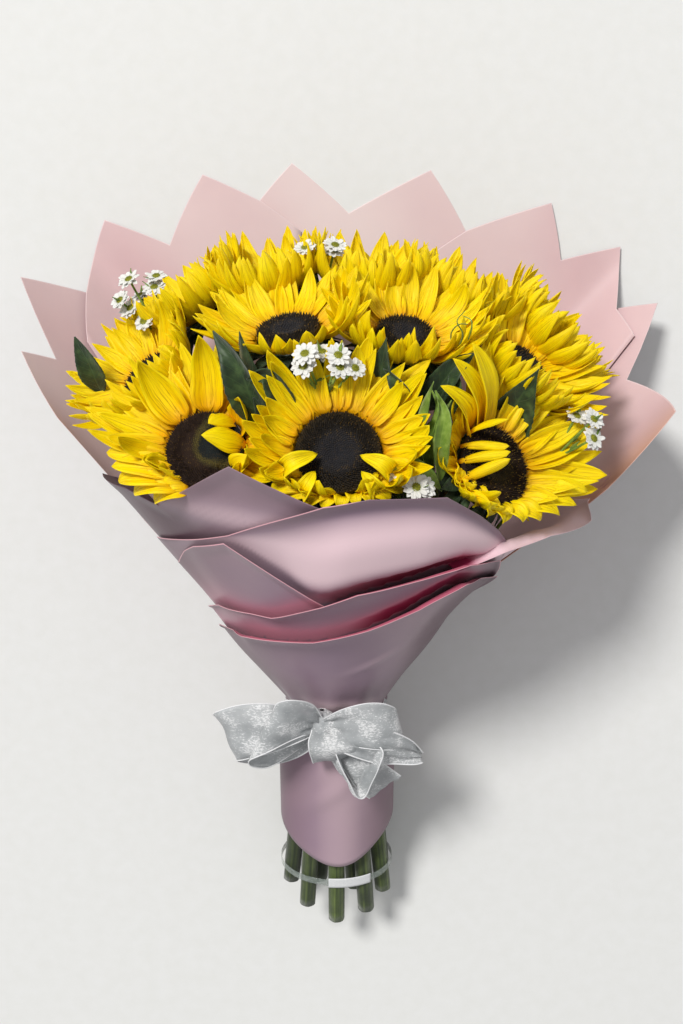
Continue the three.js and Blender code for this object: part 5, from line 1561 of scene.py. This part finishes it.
def ribbon_band(shape, threads):
    """The turn of ribbon round the neck."""
    angle = np.radians(np.arange(0, 361, 4.0))[None]
    share = np.linspace(0, 1, 13)[:, None]
    ripple = 0.8 * np.sin(9 * share) + 0.35 * np.sin(8 * angle + 4 * share)
    radius = BAND_RADIUS + 0.2 + ripple - 2.6 * share**3 * np.cos(angle)**2
    grid = around(BAND_FROM + 1 + (BAND_TO - BAND_FROM - 2) * share, radius, angle)
    t = np.linspace(0, 1, grid.shape[1])[None]
    thin(shape, grid[:, ::-1], RIBBON_THICK, along=t[:, ::-1], across=share * 2 - 1)
    for side in (0, -1):
        tube(threads, grid[side], BAND_THREAD_RADIUS, 6)
    return grid


def ribbon_knot(shape):
    """The knot, a puckered barrel across the tie."""
    rows, cols = 25, 37
    theta = np.linspace(0.15, math.pi - 0.15, rows)[:, None]
    phi = np.linspace(0, 2 * math.pi, cols)[None]
    folds = np.sin(theta) * (1 + 0.07 * np.sin(6 * phi + 3 * theta))
    wide, tall, deep = KNOT_HALF
    x, y, z = wide * folds * np.cos(phi), tall * np.cos(theta), deep * folds * np.sin(phi)
    grid = BOW_ORIGIN + RIGHT * x[..., None] + AXIS * y[..., None] + FRONT * z[..., None]
    down, spread = grid_steps(rows, cols)
    thin(shape, grid, RIBBON_THICK, along=down * 0.2, across=spread * 0.9)
    return grid


def ribbon_pieces():
    """The bow and its threads."""
    rng = np.random.default_rng(RIBBON_SEED)
    shape, threads = Shape(), Shape()
    grids = [ribbon_strip(shape, threads, rows, pointing, rng) for rows, pointing in BOW_STRIPS.values()]
    grids += [ribbon_band(shape, threads), ribbon_knot(shape)]
    bow = dress(shape.piece("organza_bow", (ORGANZA,)), "organza", "organza_ribbon")
    edges = dress(threads.piece("organza_threads", (THREAD,)), "organza")


# Tape round the cut stems

def tape_pieces():
    """The clear band round the stems and the blank label on it."""
    back = (-TAPE_FROM - TIED) / SPREAD_REACH
    clear = STEM_RADIUS + 0.75
    wide = RING_RADIUS * (1 + SPREAD_WIDE * back) + clear
    high = RING_RADIUS * (1 + SPREAD_HIGH * back) + clear
    share, lift = np.linspace(0, 1, 7)[:, None], 0.5
    angle = np.radians(np.arange(0, 363, 3.0))[None]
    along = TAPE_FROM + (TAPE_TO - TAPE_FROM) * share
    shape = Shape()
    thin(shape, bundle_point(along, wide * np.cos(angle), high * np.sin(angle))[:, ::-1], TAPE_THICK)
    dress(shape.piece("tape_band", (TAPE,)), "clear_tape", "stem_tape")
    angle = np.radians(np.linspace(*LABEL_DEGREES, 25))[None]
    along = (TAPE_FROM + TAPE_TO) / 2 + LABEL_HALF * (2 * share - 1)
    shape = Shape()
    label = bundle_point(along, (wide + lift) * np.cos(angle), (high + lift) * np.sin(angle))
    thin(shape, label[:, ::-1], LABEL_THICK)
    dress(shape.piece("tape_label", (LABEL,)), "clear_tape")


# Camera, lights and floor

def aim(thing, across, upward, backward, at):
    """Stand a camera or a light at a point in metres, with its three axes."""
    placed = Matrix((across, upward, backward)).transposed().to_4x4()
    placed.translation = at
    thing.matrix_world = placed


def set_camera():
    data = bpy.data.cameras.new("camera")
    data.lens = LENS
    data.sensor_width = SENSOR
    data.clip_end = CLIP_END
    camera = put("camera", data)
    upward = np.array((0.0, math.sin(VIEW_LIFT), -math.cos(VIEW_LIFT)))
    aim(camera, RIGHT, upward, TOWARD_CAMERA, to_frame(TOWARD_CAMERA * VIEW_DISTANCE))
    bpy.context.scene.camera = camera


def set_studio():
    world = bpy.data.worlds.new("studio")
    world.use_nodes = True
    backdrop = world.node_tree.nodes["Background"]
    backdrop.inputs["Color"].default_value = SKY_COLOUR
    backdrop.inputs["Strength"].default_value = SKY_STRENGTH
    bpy.context.scene.world = world
    bpy.context.scene.view_settings.view_transform = "Standard"

    data = bpy.data.lights.new("softbox", "AREA")
    data.shape = "DISK"
    data.size = LIGHT_SIZE
    data.energy = LIGHT_POWER
    data.color = LIGHT_COLOUR
    backward = unit(np.array(LIGHT_AT) - np.array(LIGHT_TOWARD))
    across = unit(np.cross((0.0, 1.0, 0.1), backward))
    aim(put("softbox", data), across, np.cross(backward, across), backward, LIGHT_AT)

    mesh = bpy.data.meshes.new("floor")
    corners = [(x * FLOOR_REACH, y * FLOOR_REACH, 0) for x, y in ((-1, -1), (1, -1), (1, 1), (-1, 1))]
    mesh.from_pydata(corners, [], [(0, 1, 2, 3)])
    mesh.materials.append(floor_material())
    floor = put("floor", mesh)


set_camera()
set_studio()
for head in ALL_HEADS:
    petals = petals_of(head)
    dress(petals.piece(f"bloom_{head.name}", (PETAL,)), "petal", f"petals_{head.name}")
    florets = disc_of(head)
    skin = DISC_SKINS.get(head.name, DISC)
    dress(florets.piece(f"florets_{head.name}", (skin,), flat=True), "disc", f"disc_{head.name}")
    stalk = stem_of(head)
    dress(stalk.piece(f"stalk_{head.name}", (STEM, LEAF, PITH, LEAF_BRIGHT)), "stem", f"stem_{head.name}")
for number, row in enumerate(SPRAYS):
    spray = spray_of(number, row)
    dress(spray.piece(f"daisies_{row[0]}", (DAISY, BUTTON, LEAF_BRIGHT)), "daisy", f"daisy_spray_{row[0]}")
for sheet_name in SHEETS:
    sheet_piece(sheet_name)
skirt_piece()
ribbon_pieces()
tape_pieces()
